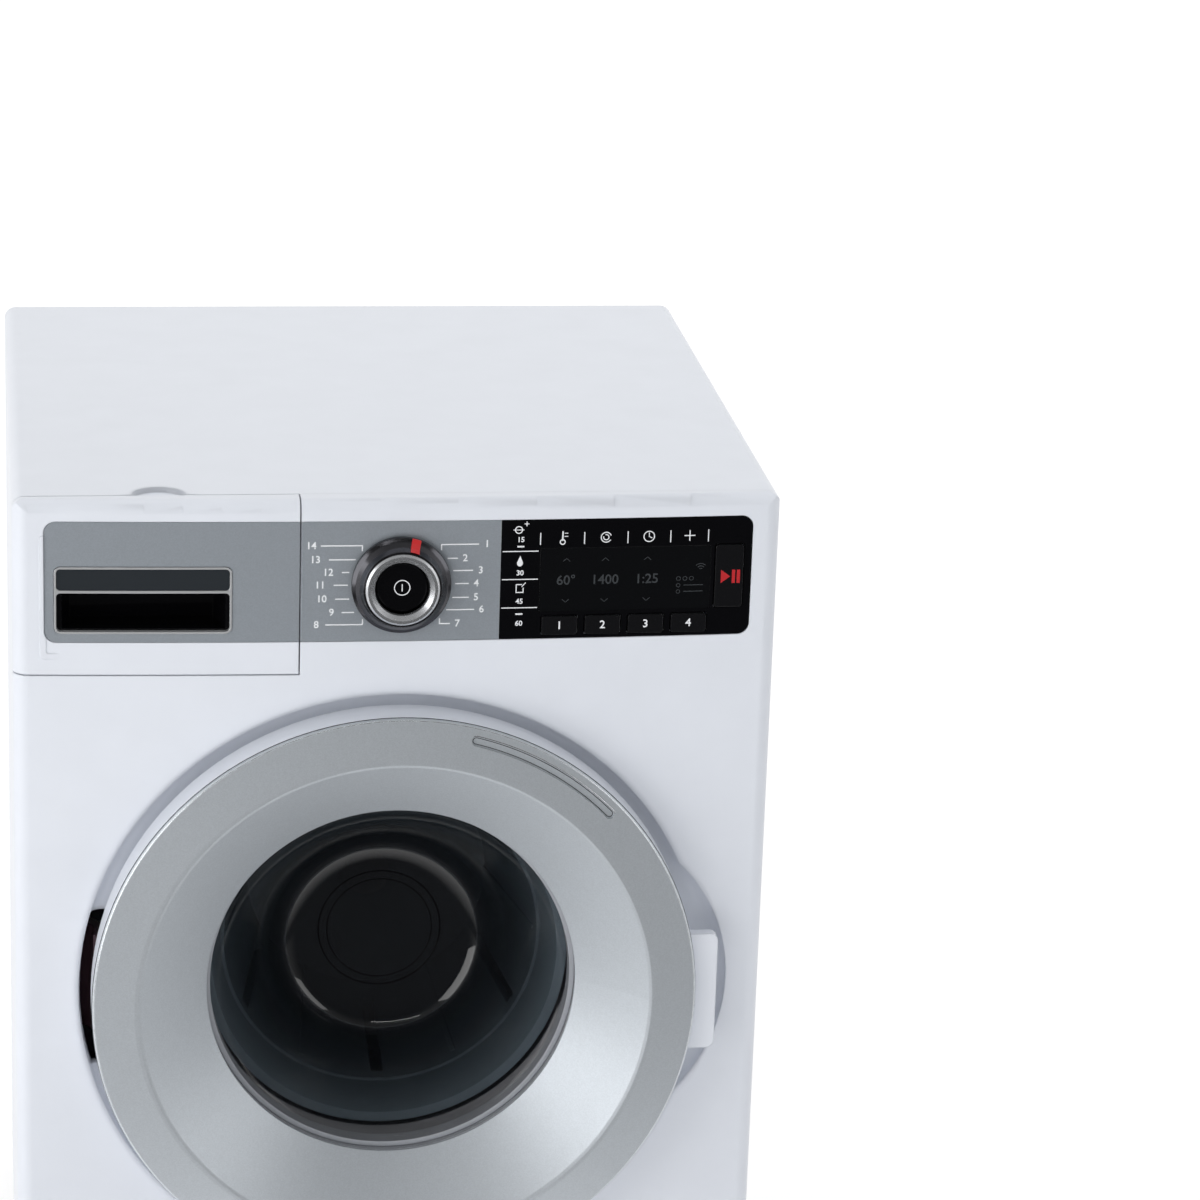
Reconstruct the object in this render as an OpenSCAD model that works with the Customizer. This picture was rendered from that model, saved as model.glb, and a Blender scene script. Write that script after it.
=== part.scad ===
/* [Cabinet] */
// Width of the cabinet
body_w = 185; // [170:1:200]
// Depth of the cabinet, from the middle of the front to the back
body_d = 183; // [170:1:200]
// Height to the top of the cabinet, feet included
body_h = 260; // [255:1:270]
// How far the sides of the bowed front stand back from its middle
front_bow = 2.6; // [1.5:0.1:4]
// Wall of the cabinet
wall = 2.5; // [2:0.1:2.6]
// Rounding of the top edges
edge_r = 3; // [2:0.5:5]
// Rounding of the upright corners
corner_r = 4; // [3:0.5:6]
// Height of the feet
foot_h = 4; // [3:0.5:6]
// Radius of a foot
foot_r = 8; // [6:0.5:10]

/* [Control strip] */
// Right end of the drawer front
drawer_edge_x = -24; // [-28:1:-22]
// Height of the drawer front
drawer_h = 43.7; // [40:0.1:46]
// How far the drawer front reaches back over the top and round the side
drawer_wrap = 6.5; // [5:0.5:8]
// Height of the silver and black strip
strip_h = 30.1; // [28:0.1:32]
// From the top of the cabinet down to the strip
strip_drop = 5.1; // [4:0.1:8]
// From the left side of the cabinet to the silver strip
strip_margin = 7.6; // [5:0.1:10]
// Where the silver strip ends and the black panel begins
panel_x0 = 24; // [20:1:28]
// From the right side of the cabinet to the black panel
panel_margin = 7; // [5:0.5:12]
// Thickness of the strip's plates
strip_t = 0.8; // [0.6:0.1:1]
// How far the plates lie below the surface around them
strip_sink = 0.1; // [0:0.05:0.2]
// Rounding of the strip's outer corners
strip_r = 2.9; // [2:0.1:4]

/* [Drawer] */
// From the left side of the cabinet to the grip pocket
pull_margin = 9.8; // [8.5:0.1:12]
// Width of the grip pocket
pull_w = 42.4; // [38:0.1:44]
// Height of the grip pocket
pull_h = 16.9; // [15:0.1:18]
// From the bottom of the strip up to the grip pocket
pull_rise = 2.1; // [1.2:0.1:4]
// Height of the plate that the fingers go behind
pull_plate_h = 6; // [4:0.1:8]
// Depth of the grip pocket
pull_depth = 12; // [10:0.5:12]
// How far the drawer opens
drawer_travel = 70; // [40:5:72]
// Length of the drawer's tray
tray_len = 82; // [75:1:84]
// Height of the tray's walls
tray_h = 19; // [12:1:24]

/* [Dial and keys] */
// From the top of the cabinet down to the dial's centre
dial_drop = 20.7; // [18:0.1:22]
// Radius of the dial's skirt
dial_r = 12; // [11:0.1:12.5]
// Radius of the bright ring
ring_r = 8.9; // [8.5:0.1:9.5]
// How far the bright ring stands out
ring_proud = 5.6; // [4.5:0.1:7]
// Radius of the power button
cap_r = 6.3; // [5.8:0.1:6.5]
// How far the power button stands out
cap_proud = 3.2; // [2.5:0.1:4]
// Travel of every button
key_travel = 1; // [0.5:0.1:1.2]
// How far the flat keys stand out of the black panel
key_proud = 0.35; // [0.3:0.05:0.8]

/* [Door] */
// From the drawer front down to the recess behind the door
dish_drop = 5.1; // [3.5:0.1:8]
// From the door's rim to the side of the cabinet
door_margin = 18.2; // [17.5:0.1:20]
// Width of the door's outer slope
slope_w = 11.2; // [9:0.1:13]
// Width of the door's inner cone
cone_w = 17.3; // [16:0.1:20]
// How far the highest ring stands out
door_proud = 11.7; // [10:0.1:13]
// How far the rim of the door stands out
rim_proud = 9.9; // [9:0.1:10.5]
// How deep the edge round the window lies
opening_depth = 3.2; // [2.5:0.1:3.4]
// From the door's rim to the edge of the recess behind it
dish_gap = 2.9; // [2.4:0.1:3.4]
// Depth of the round recess
dish_depth = 6; // [4:0.1:6.5]
// From the finger recess to the right side of the cabinet
scoop_margin = 8.8; // [6.5:0.1:10]
// Radius of the finger recess
scoop_r = 43.7; // [43:0.1:45]
// How far the door's grip reaches past the rim
grip_reach = 5.6; // [4.5:0.1:6.5]
// Height of the door's grip
grip_h = 30.6; // [24:0.1:34]
// How far the door swings open, in degrees
door_swing = 105; // [60:5:105]

/* [Window] */
// From the edge round the window to the bowl's sloping wall
window_lip = 2.8; // [2:0.1:4]
// How far the sloping wall narrows before it turns in
window_taper = 13; // [10:0.5:15]
// Depth of the sloping wall before it turns in
window_throat_y = 27; // [24:0.5:29]
// How far the bowl narrows from there to its flat bottom
window_turn = 12.5; // [10.5:0.5:15]
// Depth of the flat bottom of the bowl
window_disc_y = 38.7; // [36:0.1:40]
// Wall of the window
window_t = 2; // [1.5:0.1:2.5]

/* [Drum and drive] */
// How much smaller the drum's mouth is than the edge round the window
mouth_step = 2.3; // [1.8:0.1:3]
// Depth of the drum's mouth
drum_mouth_y = 21; // [21:0.1:23]
// Depth of the drum's back
drum_back_y = 80; // [70:1:82]
// How far the drum narrows from its mouth to the basket
basket_step = 3.6; // [3:0.1:4.5]
// How far the basket narrows to its back
basket_taper = 8.4; // [6:0.1:10]
// Number of slots, and of ribs, round the basket
slot_n = 6; // [4:1:8]
// Width of a slot
slot_w = 3.2; // [2.4:0.1:4]
// How much wider the tub is than the edge round the window
tub_room = 7.2; // [7:0.1:9]
// Depth of the tub's back
tub_back_y = 92; // [90:1:94]
// Tooth size of the gears
gear_module = 1.25; // [1.25:0.25:1.5]
// Teeth of the gear on the drum
gear_teeth = 40; // [36:1:44]
// Teeth of the pinion on the motor
pinion_teeth = 10; // [10:1:12]
// Radius of the drum's shaft
shaft_r = 3; // [2.5:0.1:3.5]

/* [Batteries] */
// Number of batteries, side by side
battery_n = 3; // [2:1:4]
// Radius of a battery
battery_r = 7.1; // [7:0.05:7.2]
// Length of a battery
battery_len = 50; // [49:0.5:51]

/* [Fits] */
// Gap round moving plastic parts
gap = 0.3; // [0.2:0.05:0.4]
// Gap between parts that are fitted together
seat = 0.1; // [0.05:0.05:0.2]
// Gap round a turning shaft
running = 0.05; // [0.03:0.01:0.08]

/* [Hidden] */

$fn = 96;
bow_fn = 1440;
cut = 1;

// The origin is under the middle of the whole machine, door included.
front_y = -(body_d - door_proud) / 2;
half_w = body_w / 2;
bow_r = (half_w * half_w + front_bow * front_bow) / (2 * front_bow);
corner_y = bow_at(half_w - corner_r);

// Control strip, from the top of the cabinet down and from its sides in
drawer_z0 = body_h - drawer_h;
strip_z1 = body_h - strip_drop;
strip_z0 = strip_z1 - strip_h;
strip_x0 = -half_w + strip_margin;
panel_x1 = half_w - panel_margin;
pull_x0 = -half_w + pull_margin;
pull_x1 = pull_x0 + pull_w;
pull_z0 = strip_z0 + pull_rise;
pull_z1 = pull_z0 + pull_h;
pull_split_z = pull_z1 - pull_plate_h;
dial_z = body_h - dial_drop;

// Radii of the door, the bowl, the drum and the tub, each set off from the next
door_r = half_w - door_margin;
crest_r = door_r - slope_w;
opening_r = crest_r - cone_w;
dish_r = door_r + dish_gap;
door_z = drawer_z0 - dish_drop - dish_r;
scoop_x = half_w - scoop_margin - scoop_r;
grip_r = door_r + grip_reach;
window_r = opening_r - window_lip;
window_throat_r = window_r - window_taper;
window_disc_r = window_throat_r - window_turn;
drum_mouth_r = opening_r - mouth_step;
basket_r = drum_mouth_r - basket_step;
basket_back_r = basket_r - basket_taper;
tub_r = opening_r + tub_room;

// Colours
white = [0.93, 0.93, 0.95];
silver = [0.66, 0.68, 0.70];
black = [0.03, 0.03, 0.035];
grey = [0.45, 0.46, 0.48];
slate = [0.16, 0.18, 0.20];
steel = [0.75, 0.76, 0.78];
rubber = [0.72, 0.71, 0.72];
green = [0.05, 0.35, 0.18];
red = [0.80, 0.06, 0.06];
smoke = [0.05, 0.06, 0.07, 0.6];

// Bay behind the drawer front, and the box that the drawer runs in
bay_x0 = -half_w + 6;
bay_x1 = drawer_edge_x - 2.5;
bay_z0 = drawer_z0 + 3.7;
bay_z1 = body_h - 8;
seam_y = drawer_wrap;
bay_y = seam_y + 2.4;
box_t = 1.5;
box_len = tray_len + 10;
small_tray_w = 21;
tray_wall = 1.5;
drawer_seam = 0.3;
pull_trim_t = strip_t + strip_sink + 0.4;
pull_r = 1.6;
notch_x = pull_x0 + 25.1;
notch_r = 6.5;
notch_depth = 1.2;
chute_x = bay_x1 - 7.5;
chute_y = 60;
chute_r = 5;
chute_bore = 3.5;

// Display, to the left of the start key
start_w = 6.8;
start_h = 15.7;
start_x = panel_x1 - 5.5;
start_z = body_h - 20.2;
lcd_x0 = panel_x0 + 9.6;
lcd_x1 = start_x - start_w / 2 - 1.2;
lcd_z1 = body_h - 12.4;
lcd_z0 = lcd_z1 - 16;

// Controls: [centre x, centre z, width, height] of each flat key
key_low_z = strip_z0 + 3.3;
key_low_h = 4.6;
key_row_x0 = lcd_x0 + 0.75;
key_row_x1 = lcd_x1 - 0.75;
key_space = 2.03;
key_pitch = (key_row_x1 - key_row_x0 + key_space) / 4;
key_w = key_pitch - key_space;
lower_keys = [for (k = [0 : 3]) [key_row_x0 + key_w / 2 + k * key_pitch, key_low_z, key_w, key_low_h]];
start_place = [start_x, start_z, start_w, start_h];
all_keys = concat(lower_keys, [start_place]);
key_r = 0.6;
key_flange = 0.6;
key_flange_t = 1.2;
key_gap = 0.35;
dome_r = 1.8;
board_y = 11;
board_t = 1.6;
board_margin = 3.5;
board_x0 = -18;
board_z0 = strip_z0 - 2.8;
board_z1 = body_h - 4;
hub_r = 6.9;
hub_bore = 6.6;
stem_r = 5.5;
stem_bore = 4;
stem_back = 9.6;

// Door
frame_in_r = opening_r + 0.4;
frame_out_r = frame_in_r + 2.8;
dish_round = 3;
dish_t = 2;
frame_back = dish_depth - 0.6;
side_y = 0.5;
frame_plate_t = 1.8;
frame_tube_y = 11.2;
rim_y = -rim_proud + 1.2;
mouth_r = opening_r + 5.2;
collar_t = 1.6;
collar_y = 20.3;
seal_y = 12.5;
seal_r = opening_r + 1;
hinge_x = -half_w + 10.5;
hinge_y = 7.6;
pin_r = 1;
barrel_r = 2.4;
arm_r0 = 9;
arm_r1 = 11.5;
arm_half = 14;
slot_half = 20.3;
slot_r = dish_r - 0.3;
slot_x1 = hinge_x + 22;
foot_x0 = hinge_x + 9;
foot_x1 = slot_x1;
foot_t = 2.15;
latch_x = door_r - 8.5;
latch_t = 2.6;
screw_ring_r = door_r - 8.3;
screw_angles = [for (k = [0 : 3]) 45 + 90 * k];
foot_screw_x = hinge_x + 16;
foot_screws = [-8, 8];
groove_r = door_r - 3.5;
groove_w = 2.4;
groove_a0 = 43.9;
groove_a1 = 75.3;
groove_y = -rim_proud - 0.1;

// Drum and drive
tub_t = 2;
bush_r = 5;
boss_r = 8;
basket_y = 34.1;
gear_t = 5;
gear_y0 = tub_back_y + 6;
gear_y1 = gear_y0 + gear_t;
drum_pitch_r = gear_module * gear_teeth / 2;
pinion_pitch_r = gear_module * pinion_teeth / 2;
pinion_z = door_z - drum_pitch_r - pinion_pitch_r;
motor_plate_y = gear_y1 + 2;
motor_r = 12;
motor_len = 28;
motor_half_h = 9.5;
motor_nose_r = 3;
motor_shaft_r = 1;
leg_x = 19.5;
leg_r = 2.5;
leg_z = door_z - tub_r + 9;

// Base
base_t = 2.5;
battery_y = 108;
bay_half_w = battery_n * (2 * battery_r + 1) / 2 + 0.5;
cover_screw_y = battery_y + 4;
spout_z = 34;
spout_y = 78;

// Rear panel
vent_n = 6;
vent_w = 40;
vent_h = 3;
vent_pitch = 8;
vent_x = -half_w + 32.5;
vent_z = body_h - 70;
speaker_x = half_w - 42.5;
speaker_z = body_h - 55;
speaker_r = 19;
speaker_y = body_d - wall - 18.5;

// Depth of the bowed front at a place x across it
function bow_at(x) = bow_r - sqrt(bow_r * bow_r - x * x);

// Radius of the tub's outside
function tub_out() = tub_r + tub_t;

// ---- Shapes shared by the pieces ----

// Puts the pieces, drawn with the front's middle at y = 0, over the origin
module placed() {
    translate([0, front_y, 0]) children();
}

// A flat outline in x and z, standing upright between two depths
module slab(y0, y1) {
    translate([0, y1, 0]) rotate([90, 0, 0]) linear_extrude(y1 - y0) children();
}

// A box given by its two corners
module box(lo, hi) {
    translate(lo) cube(hi - lo);
}

// A rectangle from one corner to the other, with rounded corners
module plate2d(x0, z0, x1, z1, r) {
    translate([x0 + r, z0]) square([x1 - x0 - 2 * r, z1 - z0]);
    translate([x0, z0 + r]) square([x1 - x0, z1 - z0 - 2 * r]);
    for (x = [x0 + r, x1 - r], z = [z0 + r, z1 - r]) translate([x, z]) circle(r, $fn = 32);
}

// A profile of radius and depth turned about an axis that runs front to back
module about(x, z) {
    translate([x, 0, z]) rotate([-90, 0, 0]) rotate_extrude() children();
}

// A round rod from one depth to another
module rod(x, z, r, y0, y1) {
    translate([x, y0, z]) rotate([-90, 0, 0]) cylinder(r = r, h = y1 - y0);
}

// A solid whose front follows the bow, from depth y0 to depth y1 below the surface
module bowed(y0, y1) {
    intersection() {
        translate([0, bow_r, 0]) linear_extrude(body_h) difference() {
            circle(bow_r - y0, $fn = bow_fn);
            circle(bow_r - y1, $fn = bow_fn);
        }
        slab(-cut, body_d / 4) children();
    }
}

// The cabinet seen from above, drawn in by a margin
module cabinet_plan(inset) {
    r = corner_r - min(inset, corner_r - 0.5);
    w = half_w - inset;
    y0 = corner_y + inset;
    translate([-w + r, y0]) square([2 * (w - r), body_d - y0]);
    translate([-w, y0 + r]) square([2 * w, body_d - y0 - r]);
    for (side = [-1, 1]) translate([side * (w - r), y0 + r]) circle(r, $fn = 48);
    intersection() {
        translate([0, bow_r]) circle(bow_r - inset, $fn = bow_fn);
        translate([-w + r, 0]) square([2 * (w - r), y0 + r]);
    }
}

// The cabinet as one solid block with rounded top edges
module cabinet_block() {
    intersection() {
        translate([0, 0, foot_h]) linear_extrude(body_h - foot_h) cabinet_plan(0);
        slab(-cut, body_d + cut) plate2d(-half_w, -foot_h, half_w, body_h, edge_r);
        translate([0, bow_r, 0]) rotate_extrude($fn = bow_fn) {
            square([bow_r, body_h - edge_r]);
            square([bow_r - edge_r, body_h]);
            translate([bow_r - edge_r, body_h - edge_r]) circle(edge_r, $fn = 48);
        }
    }
}

// The space inside the cabinet's walls
module cabinet_space() {
    linear_extrude(body_h - wall) cabinet_plan(wall);
    box([-half_w + wall, body_d - cut, 0], [half_w - wall, body_d + cut, body_h - wall]);
}

// The recess behind the door: a round dish joined to the finger recess
module dish(grow, depth) {
    for (c = [[0, dish_r], [scoop_x, scoop_r]]) about(c[0], door_z) {
        translate([0, -2 * cut]) square([c[1] + grow, depth - dish_round + 2 * cut]);
        square([c[1] + grow - dish_round, depth]);
        translate([c[1] + grow - dish_round, depth - dish_round]) circle(dish_round, $fn = 48);
    }
}

// Screw: head and shank, pointing back
module screw(x, z, head_y, r, len) {
    difference() {
        rod(x, z, 2 * r, head_y, head_y + 1);
        rod(x, z, r, head_y - cut, head_y + 0.5);
    }
    rod(x, z, r, head_y + 0.9, head_y + 1 + len);
}

// Spur gear outline with three points on each flank of a tooth
module gear_outline(teeth) {
    pitch_r = gear_module * teeth / 2;
    tip = pitch_r + 0.85 * gear_module;
    root = pitch_r - 1.2 * gear_module;
    step = 360 / teeth;
    tooth = [[root, -0.33], [pitch_r, -0.19], [tip, -0.09], [tip, 0.09], [pitch_r, 0.19], [root, 0.33]];
    polygon([for (t = [0 : teeth - 1], p = tooth) let (a = (t + p[1]) * step) p[0] * [cos(a), sin(a)]]);
}

// Outline of a key, grown by a margin
module key2d(key, grow) {
    w = key[2] / 2 + grow;
    h = key[3] / 2 + grow;
    plate2d(key[0] - w, key[1] - h, key[0] + w, key[1] + h, key_r);
}

// ---- Cabinet ----

feet_margin = 14.5;
feet_places = [for (side = [-1, 1], y = [18, body_d - 16]) [side * (half_w - feet_margin), y]];
rear_screw_x = half_w - 8.5;
rear_screws = [for (x = [-rear_screw_x, rear_screw_x], z = [14, body_h - 12]) [x, z]];
base_screw_x = half_w - 12.5;
base_screws = [for (side = [-1, 1], y = [40, 140]) [side * base_screw_x, y]];
board_posts_x = [board_x0 + 4, 30, half_w - board_margin - 1.5];
board_posts_z = [board_z0 + 5, board_z1 - 4];

// Top and sides of the cabinet in one moulded shell
module housing() color(white) placed() difference() {
    union() {
        intersection() {
            cabinet_skin();
            box([-half_w, seam_y, 0], [half_w, body_d, body_h]);
        }
        for (s = rear_screws) slab(body_d - 14, body_d - wall)
            translate([s[0] - 6.5, s[1] - 5]) square([13, 10]);
        for (s = base_screws) translate([s[0] > 0 ? s[0] - 4 : -half_w + 1, s[1] - 4, foot_h + base_t + seat])
            cube([half_w - 1 - (base_screw_x - 4), 8, 12]);
    }
    intersection() {
        translate([notch_x, seam_y, body_h - notch_depth]) cylinder(r = notch_r, h = 2 * cut);
        box([-half_w, seam_y - cut, 0], [0, body_d, body_h + cut]);
    }
    for (s = rear_screws) rod(s[0], s[1], 1.25, body_d - 12, body_d);
    for (s = base_screws) translate([s[0], s[1], foot_h]) cylinder(r = 1.25, h = 12);
}

// White front: its edges wrap back a little, and the dish, the bay and the collar are moulded in
module front_panel() color(white) placed() difference() {
    union() {
        intersection() {
            cabinet_skin();
            box([-half_w, -cut, 0], [half_w, seam_y, body_h]);
        }
        bay_wall();
        dish_cup();
        for (x = board_posts_x, z = board_posts_z) rod(x, z, 2, 2.4, board_y);
    }
    drawer_bay_cut();
    strip_cut();
    dish(0, dish_depth);
    rod(0, door_z, mouth_r, dish_depth - cut, collar_y + cut);
    intersection() {
        box([hinge_x, dish_depth - dish_t, door_z - slot_half],
            [slot_x1, dish_depth + dish_t + cut, door_z + slot_half]);
        rod(0, door_z, slot_r, 0, body_d);
    }
    box([hinge_x, dish_depth, door_z - arm_half - gap],
        [slot_x1, dish_depth + dish_t + cut, door_z + arm_half + gap]);
    box([latch_x - 5, dish_depth - cut, door_z - 7], [latch_x + 5, dish_depth + dish_t + cut, door_z + 7]);
}

// The cabinet's wall all round, open at the back and below
module cabinet_skin() {
    difference() {
        cabinet_block();
        cabinet_space();
    }
}

// Wall behind the drawer front, which frames the drawer's opening
module bay_wall() {
    intersection() {
        union() {
            translate([0, 0, foot_h]) linear_extrude(body_h - foot_h - wall - seat) cabinet_plan(wall + seat);
            intersection() {
                cabinet_block();
                box([-half_w, -cut, 0], [half_w, seam_y, body_h]);
            }
        }
        box([-half_w, -cut, drawer_z0 - 2.2], [drawer_edge_x + 2.2, bay_y, body_h]);
    }
}

// What the drawer front and its tray take out of the front
module drawer_bay_cut() {
    box([-half_w - cut, -cut, drawer_z0], [drawer_edge_x, seam_y, body_h + cut]);
    box([bay_x0, 0, bay_z0], [bay_x1, bay_y + cut, bay_z1]);
}

// Seat of the silver and black plates, with the openings behind them
module strip_cut() {
    bowed(-cut, strip_t + strip_sink)
        plate2d(drawer_edge_x - 2 * strip_r, strip_z0 - seat, panel_x1 + seat, strip_z1 + seat, strip_r);
    rod(0, dial_z, hub_r + gap, -cut, wall + cut);
    slab(-cut, 3 * wall) for (key = all_keys) key2d(key, gap);
    box([lcd_x0 + 1, -cut, lcd_z0 + 1], [lcd_x1 - 1, 3 * wall, lcd_z1 - 1]);
}

// Back of the recess behind the door, with the collar round the mouth
module dish_cup() {
    intersection() {
        dish(dish_t, dish_depth + dish_t);
        cabinet_block();
    }
    rod(0, door_z, mouth_r + collar_t, dish_depth, collar_y);
}

// Back cover with air slots and speaker grille
module rear_panel() color(white) placed() difference() {
    slab(body_d - wall, body_d) plate2d(
        -half_w + wall + seat, foot_h + base_t + seat, half_w - wall - seat, body_h - wall - seat, 1.5);
    for (s = rear_screws) {
        rod(s[0], s[1], 1.5, body_d - wall - cut, body_d + cut);
        rod(s[0], s[1], 2.8, body_d - 1.1, body_d + cut);
    }
    for (row = [0 : vent_n - 1]) slab(body_d - wall - cut, body_d + cut)
        plate2d(vent_x, vent_z + vent_pitch * row, vent_x + vent_w, vent_z + vent_pitch * row + vent_h, 1.4);
    for (row = [-2 : 2], col = [-2 : 2])
        rod(speaker_x + 6 * col, speaker_z + 6 * row, 1.2, body_d - wall - cut, body_d + cut);
    rod(0, spout_z, 8, body_d - wall - cut, body_d + cut);
}

// Bottom of the cabinet, with the battery opening
module base_plate() color(white) placed() difference() {
    intersection() {
        translate([0, 0, foot_h]) linear_extrude(base_t) cabinet_plan(wall + seat);
        box([-half_w, 0, 0], [half_w, body_d - seat, body_h]);
    }
    translate([0, 0, foot_h - cut]) linear_extrude(base_t + 2 * cut) {
        for (s = feet_places) translate([s[0], s[1]]) circle(2.5 + seat);
        for (s = base_screws) translate([s[0], s[1]]) circle(1.5);
        translate([-bay_half_w, battery_y]) square([2 * bay_half_w, battery_len + 8]);
    }
    for (s = base_screws) translate([s[0], s[1], foot_h - cut]) cylinder(r = 2.8, h = 1.1 + cut);
}

// Four feet, each with a peg in the base
module feet() color(grey) placed() for (s = feet_places) translate([s[0], s[1], 0]) {
    cylinder(r = foot_r, h = foot_h);
    cylinder(r = 2.5, h = foot_h + base_t);
}

// Screws of the rear panel and of the base
module case_screws() color(steel) placed() {
    for (s = rear_screws) back_screw(s[0], s[1], body_d - 0.1, 8);
    for (s = base_screws) translate([s[0], s[1], foot_h + 0.1]) rotate([90, 0, 0]) screw(0, 0, 0, 1.2, 8);
}

// A screw driven in from the back, the outside of its head at depth y
module back_screw(x, z, y, len) {
    translate([x, y, z]) mirror([0, 1, 0]) screw(0, 0, 0, 1.2, len);
}

// ---- Control strip ----

// Silver plate between the drawer and the black panel
module fascia_plate() color(silver) placed() difference() {
    bowed(strip_sink, strip_sink + strip_t)
        plate2d(drawer_edge_x + drawer_seam / 2, strip_z0, panel_x0, strip_z1, 0.01);
    rod(0, dial_z, hub_r + gap, -cut, wall);
}

// Black panel with openings for the display and the keys
module display_panel() color(black) placed() difference() {
    bowed(strip_sink, strip_sink + strip_t) {
        plate2d(panel_x0 + 2, strip_z0, panel_x1, strip_z1, strip_r);
        translate([panel_x0, strip_z0]) square([2 * strip_r, strip_z1 - strip_z0]);
    }
    slab(-cut, 2 * wall) for (key = all_keys) key2d(key, gap);
    box([lcd_x0, -cut, lcd_z0], [lcd_x1, wall * 2, lcd_z1]);
}

// Dark clear pane over the display
module display_window() color(smoke) placed() bowed(strip_sink + 0.05, strip_sink + strip_t)
    plate2d(lcd_x0 + seat / 2, lcd_z0 + seat / 2, lcd_x1 - seat / 2, lcd_z1 - seat / 2, 0.3);

// Display on the circuit board
module lcd_module() color(slate) placed()
    box([lcd_x0 + 2, 5.2, lcd_z0 + 1.5], [lcd_x1 - 2, board_y, lcd_z1 - 1.5]);

// Board behind the control strip
module circuit_board() color(green) placed()
    box([board_x0, board_y, board_z0], [half_w - board_margin, board_y + board_t, board_z1]);

// Depth at which the dome under a key starts
function dome_y(x) = bow_at(x) + wall + key_gap + key_flange_t + key_travel + 0.2;

// Rubber domes between the keys and the board
module key_switches() color(rubber) placed() {
    for (key = all_keys) rod(key[0], key[1], dome_r, dome_y(key[0]), board_y);
    rod(0, dial_z, dome_r + 0.4, stem_back - 0.8, board_y);
}

// Body of a flat key, with the flange that keeps it in the panel
module flat_key(key) color(black) placed() {
    face = bow_at(key[0]);
    slab(face - key_proud, face + wall + key_gap + key_flange_t) key2d(key, 0);
    slab(face + wall + key_gap, face + wall + key_gap + key_flange_t) key2d(key, key_flange);
}

module key_1() flat_key(lower_keys[0]);
module key_2() flat_key(lower_keys[1]);
module key_3() flat_key(lower_keys[2]);
module key_4() flat_key(lower_keys[3]);
module start_key() flat_key(start_place);

// Loudspeaker on the rear panel
module speaker() color(grey) placed() about(speaker_x, speaker_z) polygon([
    [0, speaker_y], [9, speaker_y], [9, speaker_y + 6], [speaker_r - 2, speaker_y + 12],
    [speaker_r, speaker_y + 12], [speaker_r, body_d - wall], [speaker_r - 4, body_d - wall],
    [8, speaker_y + 10], [0, speaker_y + 9]
]);

// ---- Dial ----

// Flared skirt of the dial, with the hub that passes through the strip
module dial_skirt() color(silver) placed() about(0, dial_z) polygon([
    [hub_bore, -0.4], [dial_r, -0.4], [dial_r, -1.5], [dial_r - 0.9, -2.1], [dial_r - 1.9, -3.2],
    [ring_r + 0.5, -4.9], [ring_r + 0.1, -4.9], [ring_r + 0.1, -3.4], [hub_bore, -3.4]
]);

// Bright ring round the power button
module dial_ring() color(steel) placed() about(0, dial_z) polygon([
    [hub_bore, -3.4], [ring_r, -3.4], [ring_r, -ring_proud + 0.5], [ring_r - 0.5, -ring_proud],
    [ring_r - 1.2, -ring_proud], [hub_bore + 0.1, -ring_proud + 1.1], [hub_bore, -ring_proud + 1.4]
]);

// Red mark on the skirt
module dial_pointer() color(red) placed() intersection() {
    about(0, dial_z) polygon([
        [dial_r + 0.1, -1.5], [dial_r + 0.1, -1.8], [dial_r - 0.8, -2.5], [dial_r - 1.8, -3.6],
        [ring_r + 0.7, -5.1], [ring_r + 0.7, -4.75], [dial_r - 1.9, -3.2], [dial_r - 0.9, -2.1], [dial_r, -1.5]
    ]);
    translate([0, 0, dial_z]) rotate([0, 17, 0]) box([-1.1, -2 * ring_proud, 0], [1.1, 0, 2 * dial_r]);
}

// Hollow stem that turns in the encoder
module dial_stem() color(grey) placed() difference() {
    union() {
        rod(0, dial_z, stem_r, -0.4, stem_back);
        rod(0, dial_z, hub_r, -0.4, wall);
    }
    rod(0, dial_z, stem_bore, -cut, stem_back + cut);
}

// Encoder round the stem
module dial_encoder() color(slate) placed() difference() {
    slab(wall + 2, board_y) plate2d(-8, dial_z - 8, 8, dial_z + 8, 1);
    rod(0, dial_z, stem_r + running, wall, board_y + cut);
}

// Power button in the middle of the dial, with its plunger
module power_cap() color(black) placed() {
    about(0, dial_z) polygon([
        [0, -cap_proud], [cap_r - 0.5, -cap_proud], [cap_r, -cap_proud + 0.4], [cap_r, -1.6], [0, -1.6]
    ]);
    rod(0, dial_z, stem_bore - gap, -2, stem_back - 0.8 - key_travel - 0.2);
}

// ---- Drawer ----

// Drawer front, wrapped over the top edge and round the corner, with the frame behind it
module drawer_front() color(white) placed() difference() {
    union() {
        intersection() {
            cabinet_skin();
            box([-half_w - cut, -cut, drawer_z0 + drawer_seam],
                [drawer_edge_x - drawer_seam, drawer_wrap - drawer_seam, body_h + cut]);
        }
        difference() {
            slab(wall - 0.5, pull_depth + 1.2)
                plate2d(bay_x0 + 0.5, bay_z0 + 0.5, bay_x1 - 0.5, bay_z1 - 0.5, 1);
            slab(0, pull_depth + 2) plate2d(bay_x0 + 2, bay_z0 + 2, bay_x1 - 2, bay_z1 - 2, 0.5);
        }
    }
    bowed(-cut, strip_t + strip_sink) {
        plate2d(strip_x0 - seat, strip_z0 - seat, drawer_edge_x - strip_r, strip_z1 + seat, strip_r);
        translate([drawer_edge_x - 3 * strip_r, strip_z0 - seat])
            square([4 * strip_r, strip_z1 - strip_z0 + 2 * seat]);
    }
    slab(-cut, wall * 2) plate2d(pull_x0, pull_z0, pull_x1, pull_z1, pull_r);
}

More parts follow.
